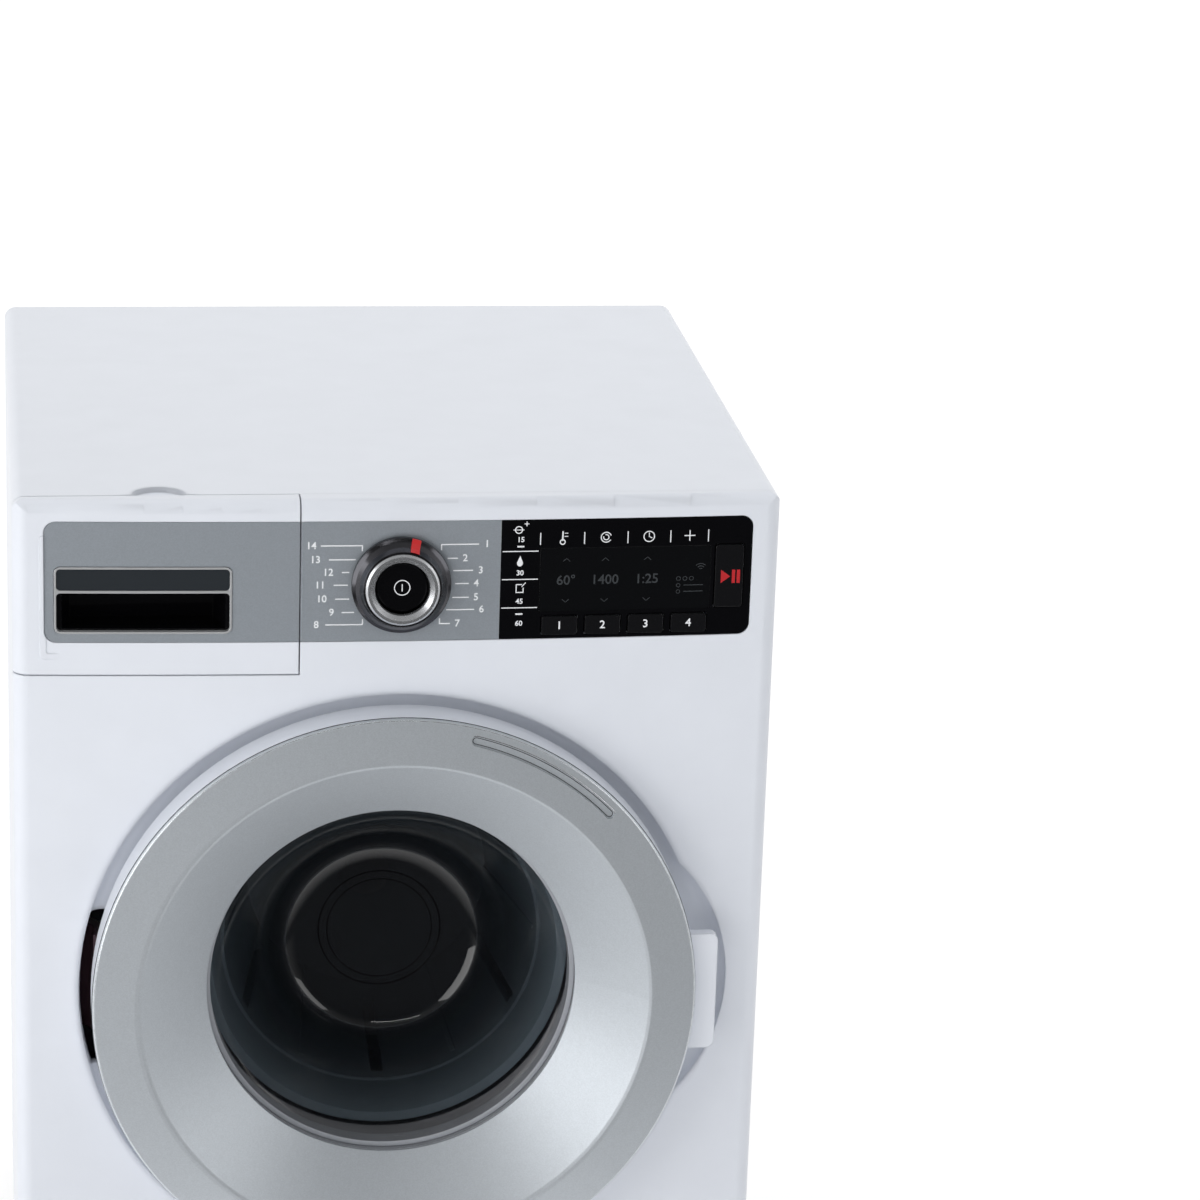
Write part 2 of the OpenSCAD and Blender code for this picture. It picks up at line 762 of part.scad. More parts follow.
// Silver plate on the drawer front
module drawer_label() color(silver) placed() difference() {
    bowed(strip_sink, strip_sink + strip_t) {
        plate2d(strip_x0, strip_z0, drawer_edge_x - strip_r, strip_z1, strip_r);
        translate([drawer_edge_x - 3 * strip_r, strip_z0])
            square([3 * strip_r - drawer_seam, strip_z1 - strip_z0]);
    }
    slab(-cut, wall * 2) plate2d(pull_x0, pull_z0, pull_x1, pull_z1, pull_r);
}

// Black grip pocket, hollow behind its upper plate as well
module drawer_pull() color(black) placed() difference() {
    intersection() {
        bowed(pull_trim_t, 2 * pull_depth) translate([-half_w, 0]) square([body_w, body_h]);
        slab(0, pull_depth + 1)
            plate2d(pull_x0 + seat, pull_z0 + seat, pull_x1 - seat, pull_z1 - seat, pull_r);
    }
    translate([0, 0, pull_z0 + 1]) linear_extrude(pull_z1 - pull_z0 - 2) polygon([
        [pull_x0 + 1, 0], [pull_x1 - 1, 0], [pull_x1 - 4, pull_depth], [pull_x0 + 4, pull_depth]
    ]);
}

// Thin bright frame of the grip pocket
module pull_trim() color(steel) placed() difference() {
    bowed(-0.2, pull_trim_t)
        plate2d(pull_x0 + seat, pull_z0 + seat, pull_x1 - seat, pull_z1 - seat, pull_r);
    slab(-cut, wall * 2) {
        plate2d(pull_x0 + 0.6, pull_split_z, pull_x1 - 0.6, pull_z1 - 0.6, pull_r - 0.6);
        plate2d(pull_x0 + 0.6, pull_z0 + 0.6, pull_x1 - 0.6, pull_split_z - 0.6, pull_r - 0.6);
    }
}

// Dark plate across the top of the grip pocket
module pull_plate() color(slate) placed() bowed(0.1, pull_trim_t)
    plate2d(pull_x0 + 0.65, pull_split_z + 0.05, pull_x1 - 0.65, pull_z1 - 0.65, pull_r - 0.65);

// Tray with a large and a small compartment
module drawer_tray() color(white) placed() {
    y0 = pull_depth + 1.2;
    x0 = bay_x0 + 0.5;
    x1 = bay_x1 - 0.5;
    z0 = bay_z0 + 0.2;
    difference() {
        box([x0, y0, z0], [x1, y0 + tray_len, z0 + tray_h]);
        box([x0 + tray_wall, y0 + 2, z0 + tray_wall],
            [x1 - small_tray_w - 2 * tray_wall, y0 + tray_len - 2, body_h]);
        box([x1 - small_tray_w - tray_wall, y0 + 2, z0 + tray_wall],
            [x1 - tray_wall, y0 + tray_len - 2, body_h]);
        translate([chute_x, chute_y, 0]) cylinder(r = 3, h = body_h);
    }
}

// Box that the tray slides in, with an outlet in its floor
module dispenser_box() color(white) placed() difference() {
    box([bay_x0 - box_t, bay_y, bay_z0 - box_t], [bay_x1 + box_t, bay_y + box_len, bay_z1 + box_t]);
    box([bay_x0, bay_y - cut, bay_z0], [bay_x1, bay_y + box_len - box_t, bay_z1]);
    translate([chute_x, chute_y, bay_z0 - 2 * box_t]) cylinder(r = chute_bore, h = 3 * box_t);
}

// Pipe from the dispenser down to the tub
module inlet_chute() color(grey) placed() difference() {
    translate([chute_x, chute_y, door_z + tub_r / 2])
        cylinder(r = chute_r, h = bay_z0 - box_t - door_z - tub_r / 2);
    translate([chute_x, chute_y, door_z]) cylinder(r = chute_bore, h = body_h);
    rod(0, door_z, tub_out() + running, 0, body_d);
}

// ---- Door ----

// White back ring of the door, with the grip and the tube that holds the window
module door_frame() color(white) placed() difference() {
    union() {
        about(0, door_z) polygon([
            [door_r, rim_y], [door_r, side_y], [door_r - 2.4, frame_back],
            [frame_out_r + 1.6, frame_back], [frame_out_r, frame_back + 1.6], [frame_out_r, frame_tube_y],
            [frame_in_r, frame_tube_y], [frame_in_r, opening_depth + 1.3],
            [frame_in_r + 0.7, opening_depth + 1.3],
            [frame_in_r + 4.1, frame_back - frame_plate_t], [door_r - 2, frame_back - frame_plate_t],
            [door_r - 2, rim_y]
        ]);
        intersection() {
            box([-door_r, -2, door_z - arm_half - 2], [slot_x1 + 2, frame_back, door_z + arm_half + 2]);
            rod(0, door_z, door_r - 1, -2, frame_back);
        }
        slab(-6.5, -3.5) plate2d(door_r - 3, door_z - grip_h / 2, grip_r, door_z + grip_h / 2, 2);
        for (a = screw_angles) about_screw(a) cylinder(r = 3.4, h = frame_back + 5);
    }
    box([foot_x0 - 2, frame_back - foot_t - running, door_z - arm_half - gap],
        [slot_x1 + seat, frame_back + cut, door_z + arm_half + gap]);
    box([latch_x - latch_t / 2 - running, -cut, door_z - 4 - running],
        [latch_x + latch_t / 2 + running, frame_back + cut, door_z + 4 + running]);
    for (a = screw_angles) about_screw(a) {
        translate([0, 0, -cut]) cylinder(r = 1.4, h = 12);
        translate([0, 0, frame_back + 5 - 1.2]) cylinder(r = 2.7, h = 2);
    }
    for (z = foot_screws) rod(foot_screw_x, door_z + z, 1.25, frame_back - 5.1, frame_back);
}

// Places a rod that starts 5 mm in front of the front plane at an angle round the door
module about_screw(a) {
    translate([screw_ring_r * cos(a), -5, door_z + screw_ring_r * sin(a)]) rotate([-90, 0, 0]) children();
}

// Silver ring on the front of the door, with a groove in its outer slope
module door_bezel() color(silver) placed() difference() {
    union() {
        about(0, door_z) polygon([
            [door_r - 0.1, rim_y - 0.05], [door_r - 0.1, -rim_proud + 0.4], [door_r - 0.6, -rim_proud - 0.1],
            [crest_r + 0.9, -door_proud + 0.05], [crest_r, -door_proud], [crest_r - 0.7, -door_proud + 0.35],
            [opening_r, opening_depth], [opening_r, opening_depth + 0.6],
            [opening_r + 0.6, opening_depth + 0.6],
            [crest_r + 0.4, -door_proud + 1.5], [door_r - 2.6, rim_y - 0.05]
        ]);
        for (a = screw_angles) about_screw(a) translate([0, 0, -5.2]) cylinder(r = 2.7, h = 5.1);
    }
    translate([0, 0, door_z]) rotate([-90, -groove_a1, 0]) rotate_extrude(angle = groove_a1 - groove_a0)
        translate([groove_r - groove_w / 2, -door_proud - cut]) square([groove_w, door_proud + cut + groove_y]);
    for (a = [groove_a0, groove_a1])
        rod(groove_r * cos(a), door_z + groove_r * sin(a), groove_w / 2 - running, -door_proud - cut, groove_y);
    for (a = screw_angles) about_screw(a) translate([0, 0, -3.5]) cylinder(r = 1.25, h = 5);
}

// Smoked clear bowl in the door
module door_window() color(smoke) placed() about(0, door_z) polygon(concat(
    [[frame_in_r - seat, 4.6], [window_r, 4.6]],
    bowl_line(0),
    [[0, window_disc_y], [0, window_disc_y + window_t]],
    [for (i = [5 : -1 : 0]) bowl_line(window_t)[i]],
    [[frame_in_r - seat, 6.4]]
));

// Points of the bowl from the sloping wall to the flat bottom, set out by a wall thickness
function bowl_line(t) = [
    [window_r - 0.9 + 0.6 * t, 5.4 + 0.5 * t],
    [window_throat_r + t, window_throat_y],
    [window_throat_r - 1 + t, window_throat_y + 4.4 + 0.15 * t],
    [window_throat_r - 3.5 + 0.85 * t, window_throat_y + 8.4 + 0.4 * t],
    [window_throat_r - 7.5 + 0.5 * t, window_disc_y - 0.9 + 0.85 * t],
    [window_disc_r, window_disc_y + t]
];

// Ring that holds the window in the door
module window_retainer() color(white) placed() about(0, door_z)
    translate([frame_in_r - seat - 1.3, 6.5]) square([1.3, frame_tube_y - 6.7]);

// A wedge of a circle between two angles
module wedge(a0, a1, r) {
    polygon(concat([[0, 0]], [for (k = [0 : 6]) let (a = a0 + k * (a1 - a0) / 6) r * [cos(a), sin(a)]]));
}

// Arm that carries the door: barrel, curved neck and foot
module hinge_arm() color(white) placed() difference() {
    union() {
        translate([hinge_x, hinge_y, door_z - arm_half]) linear_extrude(2 * arm_half) difference() {
            union() {
                circle(barrel_r, $fn = 48);
                rotate(104) translate([0, -1.2]) square([arm_r0 + 1, 2.4]);
                intersection() {
                    difference() {
                        circle(arm_r1);
                        circle(arm_r0);
                    }
                    wedge(-20, 111, 2 * arm_r1);
                }
            }
            circle(pin_r + running, $fn = 48);
        }
        box([foot_x0, frame_back - foot_t, door_z - arm_half], [foot_x1, frame_back, door_z + arm_half]);
    }
    for (z = foot_screws) {
        rod(foot_screw_x, door_z + z, 1.4, 0, frame_back + cut);
        rod(foot_screw_x, door_z + z, 2.7, frame_back - 1.1, frame_back + cut);
    }
}

// Hook that holds the door shut
module latch_hook() color(grey) placed() {
    box([latch_x - 4, 0, door_z - 6], [latch_x + 4, frame_back - frame_plate_t, door_z + 6]);
    box([latch_x - latch_t / 2, 0, door_z - 4], [latch_x + latch_t / 2, 12, door_z + 4]);
    box([latch_x, 9, door_z - 3], [latch_x + 2.1, 11, door_z + 3]);
}

// Screws that join the door's rings and hold the hinge arm's foot
module door_screws() color(steel) placed() {
    for (a = screw_angles)
        back_screw(screw_ring_r * cos(a), door_z + screw_ring_r * sin(a), frame_back - 0.05, 12);
    for (z = foot_screws) back_screw(foot_screw_x, door_z + z, frame_back - 0.05, 3.4);
}

// ---- Hinge and catch in the cabinet ----

// Bracket with two ears that hold the hinge pin
module hinge_bracket() color(steel) placed() difference() {
    union() {
        for (z = [door_z - arm_half - 5, door_z + arm_half + 1])
            box([-half_w + wall + 1.6, bow_at(hinge_x) + wall + 0.4, z], [hinge_x + 3.4, 12, z + 4]);
        box([-half_w + wall, 7, door_z - arm_half - 5], [-half_w + wall + 2, 20, door_z + arm_half + 5]);
    }
    translate([hinge_x, hinge_y, 0]) cylinder(r = pin_r + running / 2, h = body_h, $fn = 48);
}

// Steel pin of the door's hinge
module hinge_pin() color(steel) placed()
    translate([hinge_x, hinge_y, door_z - arm_half - 5]) cylinder(r = pin_r, h = 2 * arm_half + 10, $fn = 48);

// Catch behind the recess that the hook snaps into
module latch_catch() color(grey) placed() difference() {
    box([latch_x - 6.5, dish_depth + dish_t, door_z - 9], [latch_x + 6.5, 16, door_z + 9]);
    box([latch_x - 3, dish_depth + dish_t - cut, door_z - 5.5], [latch_x + 3, 14, door_z + 5.5]);
}

// ---- Tub and water ----

// Tub round the drum, with the boss for the shaft's bush
module tub() color(white) placed() difference() {
    union() {
        about(0, door_z) {
            translate([tub_r, dish_depth + dish_t]) square([6, 2]);
            translate([tub_r, dish_depth + dish_t]) square([tub_t, tub_back_y - dish_depth - dish_t]);
            translate([0, tub_back_y - tub_t]) square([tub_out(), tub_t]);
            translate([0, tub_back_y - 6]) square([boss_r, 10]);
        }
        for (x = [-leg_x, leg_x]) rod(x, leg_z, leg_r, tub_back_y - cut, tub_back_y + 2);
    }
    rod(0, door_z, bush_r + seat / 4, tub_back_y - 10, tub_back_y + 10);
    translate([0, spout_y, door_z - tub_out() - cut]) cylinder(r = chute_bore, h = 2 * tub_t + cut);
    translate([chute_x, chute_y, door_z]) cylinder(r = chute_bore, h = body_h);
}

// Soft ring in the collar between the door and the drum
module tub_seal() color(rubber) placed() about(0, door_z) polygon([
    [seal_r + 0.6, seal_y], [mouth_r - running, seal_y], [mouth_r - running, collar_y], [seal_r, collar_y],
    [seal_r, seal_y + 0.6]
]);

// Outlet pipe from the bottom of the tub to the rear panel
module drain_spout() color(grey) placed() difference() {
    union() {
        translate([0, spout_y, spout_z]) cylinder(r = chute_r, h = door_z - tub_r - spout_z);
        rod(0, spout_z, chute_r, spout_y, body_d - wall + 0.5);
        translate([0, spout_y, spout_z]) sphere(chute_r);
    }
    translate([0, spout_y, spout_z]) cylinder(r = chute_bore, h = door_z);
    rod(0, spout_z, chute_bore, spout_y, body_d + cut);
    rod(0, door_z, tub_out() + running, 0, body_d);
}

// Stopper in the end of the outlet pipe
module drain_plug() color(rubber) placed() {
    rod(0, spout_z, chute_bore - running, body_d - 12, body_d - wall + 0.7);
    rod(0, spout_z, 7.4, body_d - wall + 0.6, body_d);
}

// ---- Drum and drive ----

// Basket of the drum, with slots and thin ribs along its wall
module drum() color(slate) placed() {
    difference() {
        about(0, door_z) polygon([
            [basket_r, basket_y], [basket_r + 2.1, basket_y], [basket_r + 2.1, basket_y + 4],
            [basket_back_r + 2, drum_back_y], [0, drum_back_y], [0, drum_back_y - 2],
            [basket_back_r, drum_back_y - 2]
        ]);
        for (k = [0 : slot_n - 1]) translate([0, 0, door_z]) rotate([0, 90 + 360 / slot_n * k, 0])
            box([basket_back_r - 5, basket_y + 3, -slot_w / 2], [basket_r + 5, drum_back_y - 10, slot_w / 2]);
        rod(0, door_z, shaft_r, 0, body_d);
    }
    intersection() {
        about(0, door_z) polygon([
            [basket_r - 0.8, basket_y + 3], [basket_r + 0.6, basket_y + 3],
            [basket_back_r + 0.8, drum_back_y - 2], [basket_back_r - 0.6, drum_back_y - 2]
        ]);
        for (k = [0 : slot_n - 1]) translate([0, 0, door_z]) rotate([0, 90 + 360 / slot_n * (k + 0.5), 0])
            box([0, basket_y, -0.6], [basket_r + 5, drum_back_y, 0.6]);
    }
}

// Front ring of the drum, sleeved over the basket
module drum_ring() color(slate) placed() about(0, door_z) polygon([
    [drum_mouth_r, drum_mouth_y], [drum_mouth_r + 2.5, drum_mouth_y], [drum_mouth_r + 2.5, drum_mouth_y + 2],
    [basket_r + 3.8, basket_y], [basket_r + 3.8, basket_y + 4], [basket_r + 2.1 + running, basket_y + 4],
    [basket_r + 2.1 + running, basket_y], [basket_r + 0.8, basket_y]
]);

// Shaft with a flat head inside the drum
module drum_shaft() color(steel) placed() {
    rod(0, door_z, 6, drum_back_y - 4, drum_back_y - 2);
    rod(0, door_z, shaft_r, drum_back_y - 2, gear_y1 + 1);
}

// Bush that the shaft turns in
module shaft_bush() color([0.75, 0.6, 0.3]) placed() difference() {
    union() {
        rod(0, door_z, bush_r, tub_back_y - 6, tub_back_y + 4);
        rod(0, door_z, bush_r + 2, tub_back_y - 7.5, tub_back_y - 6);
    }
    rod(0, door_z, shaft_r + running, 0, body_d);
}

// Large gear on the drum's shaft
module drum_gear() color(white) placed() difference() {
    union() {
        translate([0, 0, door_z]) slab(gear_y0, gear_y1) gear_outline(gear_teeth);
        rod(0, door_z, 7, tub_back_y + 4.3, gear_y1);
    }
    rod(0, door_z, shaft_r, 0, body_d);
    for (k = [0 : 4]) rod(15 * cos(72 * k), door_z + 15 * sin(72 * k), 4.5, gear_y0 - cut, gear_y1 + cut);
}

// Small gear with the motor's shaft
module motor_pinion() color(steel) placed() {
    translate([0, 0, pinion_z]) slab(gear_y0, gear_y1) gear_outline(pinion_teeth);
    rod(0, pinion_z, motor_shaft_r, gear_y1 - cut, motor_plate_y + 7);
}

// Motor
module motor() color(steel) placed() difference() {
    union() {
        intersection() {
            rod(0, pinion_z, motor_r, motor_plate_y + 2, motor_plate_y + 2 + motor_len);
            box([-motor_r, 0, pinion_z - motor_half_h], [motor_r, body_d, pinion_z + motor_half_h]);
        }
        rod(0, pinion_z, motor_nose_r, motor_plate_y, motor_plate_y + 2);
    }
    rod(0, pinion_z, motor_shaft_r + running, 0, motor_plate_y + 8);
}

// Plate with two legs that holds the motor on the tub
module motor_bracket() color(steel) placed() difference() {
    union() {
        slab(motor_plate_y, motor_plate_y + 2)
            plate2d(-leg_x - leg_r, leg_z - 4, leg_x + leg_r, pinion_z + motor_r + 2, 2);
        for (x = [-leg_x, leg_x]) rod(x, leg_z, leg_r, tub_back_y + 2, motor_plate_y);
    }
    rod(0, pinion_z, motor_nose_r + running, 0, body_d);
}

// ---- Batteries ----

battery_x = [for (k = [0 : battery_n - 1]) (k - (battery_n - 1) / 2) * (2 * battery_r + 1)];

// Box over the batteries, open at the bottom
module battery_box() color(black) placed() {
    z0 = foot_h + base_t;
    difference() {
        box([-bay_half_w - 1.5, battery_y - 1.5, z0],
            [bay_half_w + 1.5, battery_y + battery_len + 9.5, z0 + 18]);
        box([-bay_half_w, battery_y, z0 - cut], [bay_half_w, battery_y + battery_len + 8, z0 + 16.5]);
    }
}

// Batteries, side by side
module batteries() color([0.2, 0.25, 0.3]) placed() for (x = battery_x) {
    z = foot_h + base_t + 1 + battery_r;
    rod(x, z, battery_r, battery_y + 4, battery_y + 3 + battery_len);
    rod(x, z, 2.7, battery_y + 3 + battery_len, battery_y + 4 + battery_len);
}

// Spring plates at both ends of the batteries
module battery_contacts() color(steel) placed() for (x = battery_x) {
    z = foot_h + base_t + 1 + battery_r;
    box([x - 5, battery_y + 0.2, z - 5], [x + 5, battery_y + 0.7, z + 5]);
    rod(x, z, 3, battery_y + 0.7, battery_y + 4);
    box([x - 5, battery_y + battery_len + 4, z - 5], [x + 5, battery_y + battery_len + 4.5, z + 5]);
}

// Cover over the battery opening in the base
module battery_cover() color(white) placed() difference() {
    box([-bay_half_w + gap, battery_y + gap, foot_h + 0.3],
        [bay_half_w - gap, battery_y + battery_len + 8 - gap, foot_h + base_t - 0.2]);
    translate([0, cover_screw_y, 0]) cylinder(r = 1.5, h = body_h);
    translate([0, cover_screw_y, 0]) cylinder(r = 2.8, h = foot_h + 1.3);
}

// Screw of the battery cover
module cover_screw() color(steel) placed()
    translate([0, cover_screw_y, foot_h + 0.3]) rotate([90, 0, 0]) screw(0, 0, 0, 1.2, 2);

housing();
front_panel();
rear_panel();
base_plate();
feet();
case_screws();
fascia_plate();
display_panel();
display_window();
lcd_module();
circuit_board();
key_switches();
dial_encoder();
speaker();
drawer_front();
drawer_label();
drawer_pull();
pull_trim();
pull_plate();
drawer_tray();
dispenser_box();
inlet_chute();
dial_skirt();
dial_ring();
dial_pointer();
dial_stem();
power_cap();
key_1();
key_2();
key_3();
key_4();
start_key();
door_frame();
door_bezel();
door_window();
window_retainer();
hinge_arm();
latch_hook();
door_screws();
hinge_bracket();
hinge_pin();
latch_catch();
tub();
tub_seal();
drain_spout();
drain_plug();
drum();
drum_ring();
drum_shaft();
drum_gear();
shaft_bush();
motor();
motor_bracket();
motor_pinion();
battery_box();
batteries();
battery_contacts();
battery_cover();
cover_screw();
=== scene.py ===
import bmesh
import bpy
import math
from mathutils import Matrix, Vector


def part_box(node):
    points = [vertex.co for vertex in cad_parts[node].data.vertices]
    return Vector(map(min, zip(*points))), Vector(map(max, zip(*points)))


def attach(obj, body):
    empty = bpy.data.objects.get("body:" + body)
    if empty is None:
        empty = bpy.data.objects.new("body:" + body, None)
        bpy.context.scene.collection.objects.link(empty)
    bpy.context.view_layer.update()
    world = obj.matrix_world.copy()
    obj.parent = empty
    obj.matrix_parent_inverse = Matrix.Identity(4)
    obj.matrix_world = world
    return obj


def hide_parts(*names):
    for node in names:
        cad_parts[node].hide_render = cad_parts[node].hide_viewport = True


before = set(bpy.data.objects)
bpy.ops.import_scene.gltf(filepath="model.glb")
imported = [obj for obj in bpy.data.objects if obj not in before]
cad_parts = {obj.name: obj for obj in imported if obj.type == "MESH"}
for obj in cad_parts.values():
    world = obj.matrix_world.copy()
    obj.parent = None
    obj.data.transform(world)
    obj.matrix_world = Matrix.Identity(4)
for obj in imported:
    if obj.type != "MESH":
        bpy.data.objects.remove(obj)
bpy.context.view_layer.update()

# Camera: a long portrait lens, held a little to the left of the machine and
# above it, so that the front, the top and none of the right side show.
camera_place = (-0.0994, -1.0839, 0.5693)
camera_turn = (71.638, -1.895, -7.791)
camera_lens = 131.98
lens = bpy.data.cameras.new("camera")
lens.lens = camera_lens
lens.sensor_width = 36
lens.clip_start = 0.05
camera = bpy.data.objects.new("camera", lens)
camera.location = camera_place
camera.rotation_euler = [math.radians(angle) for angle in camera_turn]
bpy.context.collection.objects.link(camera)
bpy.context.scene.camera = camera
bpy.context.scene.view_settings.view_transform = "Standard"

# Studio: a pale table top that ends a little way in front of the machine, a
# white surround that is dim in front, where the room is, and overhead, and
# soft boxes round the machine, with a narrow strip that only glosses show.
table_x = (-1.6, 1.6)
table_y = (-0.30, 2.6)
table_grey = (0.80, 0.80, 0.81, 1)
table_glow_near = 0.80
table_glow_far = 1.0
table_mirrored = 1.1
# between these distances from the middle the glow rises, and between these Y
# values its mirror image does
table_glow_reach = (0.16, 0.55)
table_mirror_reach = (-0.25, -0.16)
surround_colour = (0.97, 0.985, 1.0, 1)
surround_level = 0.50
room_level = 0.06
ceiling_level = 0.45
# parts of a direction along Y and Z between which the room and ceiling fade in
room_reach = (-0.75, -0.1)
ceiling_reach = (0.2, 0.9)
# (name, place, width and height, power, seen by diffuse surfaces, seen in mirrors)
soft_boxes = [
    ("box_left", (-1.25, -0.75, 0.35), (1.1, 1.1), 9.5, True, True),
    ("box_right", (1.35, -0.8, 0.6), (0.8, 0.8), 3.4, True, True),
    ("box_above", (0.1, 0.45, 1.35), (1.1, 1.1), 6.4, True, False),
    ("box_front", (-0.5, -1.6, -0.3), (1.2, 1.2), 6.6, True, False),
    ("strip_above", (-0.2, -1.15, 1.35), (1.0, 0.03), 0.7, False, True),
]
aim = (0.0, -0.03, 0.16)


def new_group(name, inputs, outputs):
    """An empty shader node group with named sockets: (name, kind, default)."""
    group = bpy.data.node_groups.new(name, "ShaderNodeTree")
    for socket, kind, value in inputs:
        added = group.interface.new_socket(socket, in_out="INPUT", socket_type=kind)
        added.default_value = value
    for socket, kind in outputs:
        group.interface.new_socket(socket, in_out="OUTPUT", socket_type=kind)
    return group, group.nodes.new("NodeGroupInput"), group.nodes.new("NodeGroupOutput")


def add_node(tree, kind, settings=None, values=None, links=None):
    """Adds a node, sets its fields and sockets, and joins sockets of other nodes to it."""
    node = tree.nodes.new(kind)
    for field, value in (settings or {}).items():
        setattr(node, field, value)
    for socket, value in (values or {}).items():
        node.inputs[socket].default_value = value
    for socket, source in (links or {}).items():
        tree.links.new(source, node.inputs[socket])
    return node


table_mesh = bpy.data.meshes.new("table")
table_mesh.from_pydata([(x, y, 0) for y in table_y for x in table_x], [], [(0, 1, 3, 2)])
table = bpy.data.objects.new("table", table_mesh)
bpy.context.collection.objects.link(table)
table_paint = bpy.data.materials.new("table_paint")
table_paint.use_nodes = True
tree = table_paint.node_tree
shader = tree.nodes["Principled BSDF"]
shader.inputs["Base Color"].default_value = table_grey
shader.inputs["Roughness"].default_value = 0.9
place = add_node(tree, "ShaderNodeTexCoord")
distance = add_node(
    tree, "ShaderNodeVectorMath", {"operation": "LENGTH"}, None, {0: place.outputs["Object"]}
)
glow_here = add_node(
    tree,
    "ShaderNodeMapRange",
    None,
    {
        "From Min": table_glow_reach[0],
        "From Max": table_glow_reach[1],
        "To Min": table_glow_near,
        "To Max": table_glow_far,
    },
    {"Value": distance.outputs["Value"]},
)
rays = add_node(tree, "ShaderNodeLightPath")
share = add_node(
    tree,
    "ShaderNodeMath",
    {"operation": "MULTIPLY"},
    None,
    {0: rays.outputs["Is Camera Ray"], 1: glow_here.outputs["Result"]},
)
share_or_mirrored = add_node(
    tree,
    "ShaderNodeMath",
    {"operation": "MAXIMUM"},
    None,
    {0: share.outputs[0], 1: rays.outputs["Is Glossy Ray"]},
)
parts = add_node(tree, "ShaderNodeSeparateXYZ", None, None, {0: place.outputs["Object"]})
mirrored_glow = add_node(
    tree,
    "ShaderNodeMapRange",
    None,
    {
        "From Min": table_mirror_reach[0],
        "From Max": table_mirror_reach[1],
        "To Min": room_level,
        "To Max": table_mirrored,
    },
    {"Value": parts.outputs["Y"]},
)
glow_level = add_node(
    tree,
    "ShaderNodeMath",
    {"operation": "MAXIMUM"},
    None,
    {0: rays.outputs["Is Camera Ray"], 1: mirrored_glow.outputs["Result"]},
)
white_glow = add_node(
    tree,
    "ShaderNodeEmission",
    None,
    {"Color": (1, 1, 1, 1)},
    {"Strength": glow_level.outputs[0]},
)
blended = add_node(
    tree,
    "ShaderNodeMixShader",
    None,
    None,
    {0: share_or_mirrored.outputs[0], 1: shader.outputs[0], 2: white_glow.outputs[0]},
)
tree.links.new(blended.outputs[0], tree.nodes["Material Output"].inputs["Surface"])
table_mesh.materials.append(table_paint)

world = bpy.data.worlds.new("surround")
world.use_nodes = True
bpy.context.scene.world = world
sky = world.node_tree
glow = sky.nodes["Background"]
glow.inputs["Color"].default_value = surround_colour
glow.inputs["Strength"].default_value = surround_level
direction = add_node(sky, "ShaderNodeTexCoord")
parts = add_node(sky, "ShaderNodeSeparateXYZ", None, None, {0: direction.outputs["Generated"]})
room = add_node(
    sky,
    "ShaderNodeMapRange",
    None,
    {"From Min": room_reach[0], "From Max": room_reach[1], "To Min": room_level, "To Max": 1.0},
    {"Value": parts.outputs["Y"]},
)
ceiling = add_node(
    sky,
    "ShaderNodeMapRange",
    None,
    {"From Min": ceiling_reach[0], "From Max": ceiling_reach[1], "To Min": 1.0, "To Max": ceiling_level},
    {"Value": parts.outputs["Z"]},
)
mirrored_level = add_node(
    sky,
    "ShaderNodeMath",
    {"operation": "MULTIPLY"},
    None,
    {0: room.outputs["Result"], 1: ceiling.outputs["Result"]},
)
mirrored_sky = add_node(
    sky, "ShaderNodeBackground", None, {"Color": (1, 1, 1, 1)}, {"Strength": mirrored_level.outputs[0]}
)
backdrop = add_node(sky, "ShaderNodeBackground", None, {"Color": (1, 1, 1, 1), "Strength": 1.0})
rays = add_node(sky, "ShaderNodeLightPath")
lit = add_node(
    sky,
    "ShaderNodeMixShader",
    None,
    None,
    {0: rays.outputs["Is Glossy Ray"], 1: glow.outputs[0], 2: mirrored_sky.outputs[0]},
)
seen = add_node(
    sky,
    "ShaderNodeMixShader",
    None,
    None,
    {0: rays.outputs["Is Camera Ray"], 1: lit.outputs[0], 2: backdrop.outputs[0]},
)
sky.links.new(seen.outputs[0], sky.nodes["World Output"].inputs["Surface"])

for name, place, size, power, lights, mirrored in soft_boxes:
    lamp = bpy.data.lights.new(name, "AREA")
    lamp.shape = "RECTANGLE"
    lamp.size, lamp.size_y = size
    lamp.energy = power
    box = bpy.data.objects.new(name, lamp)
    box.location = place
    box.visible_diffuse = lights
    box.visible_glossy = mirrored
    towards = [goal - start for goal, start in zip(aim, place)]
    pitch = math.atan2(math.hypot(towards[0], towards[1]), -towards[2])
    box.rotation_euler = (pitch, 0, math.atan2(-towards[0], towards[1]))
    bpy.context.collection.objects.link(box)

# Cabinet: a glossy white shell for top and sides and a bowed front panel, with
# the rear panel, base and drawer in the same plastic. The moulded skin is very
# slightly uneven, and its sharp edges are just broken.
white_colour = (0.795, 0.82, 0.875, 1)
white_edge = 0.0005

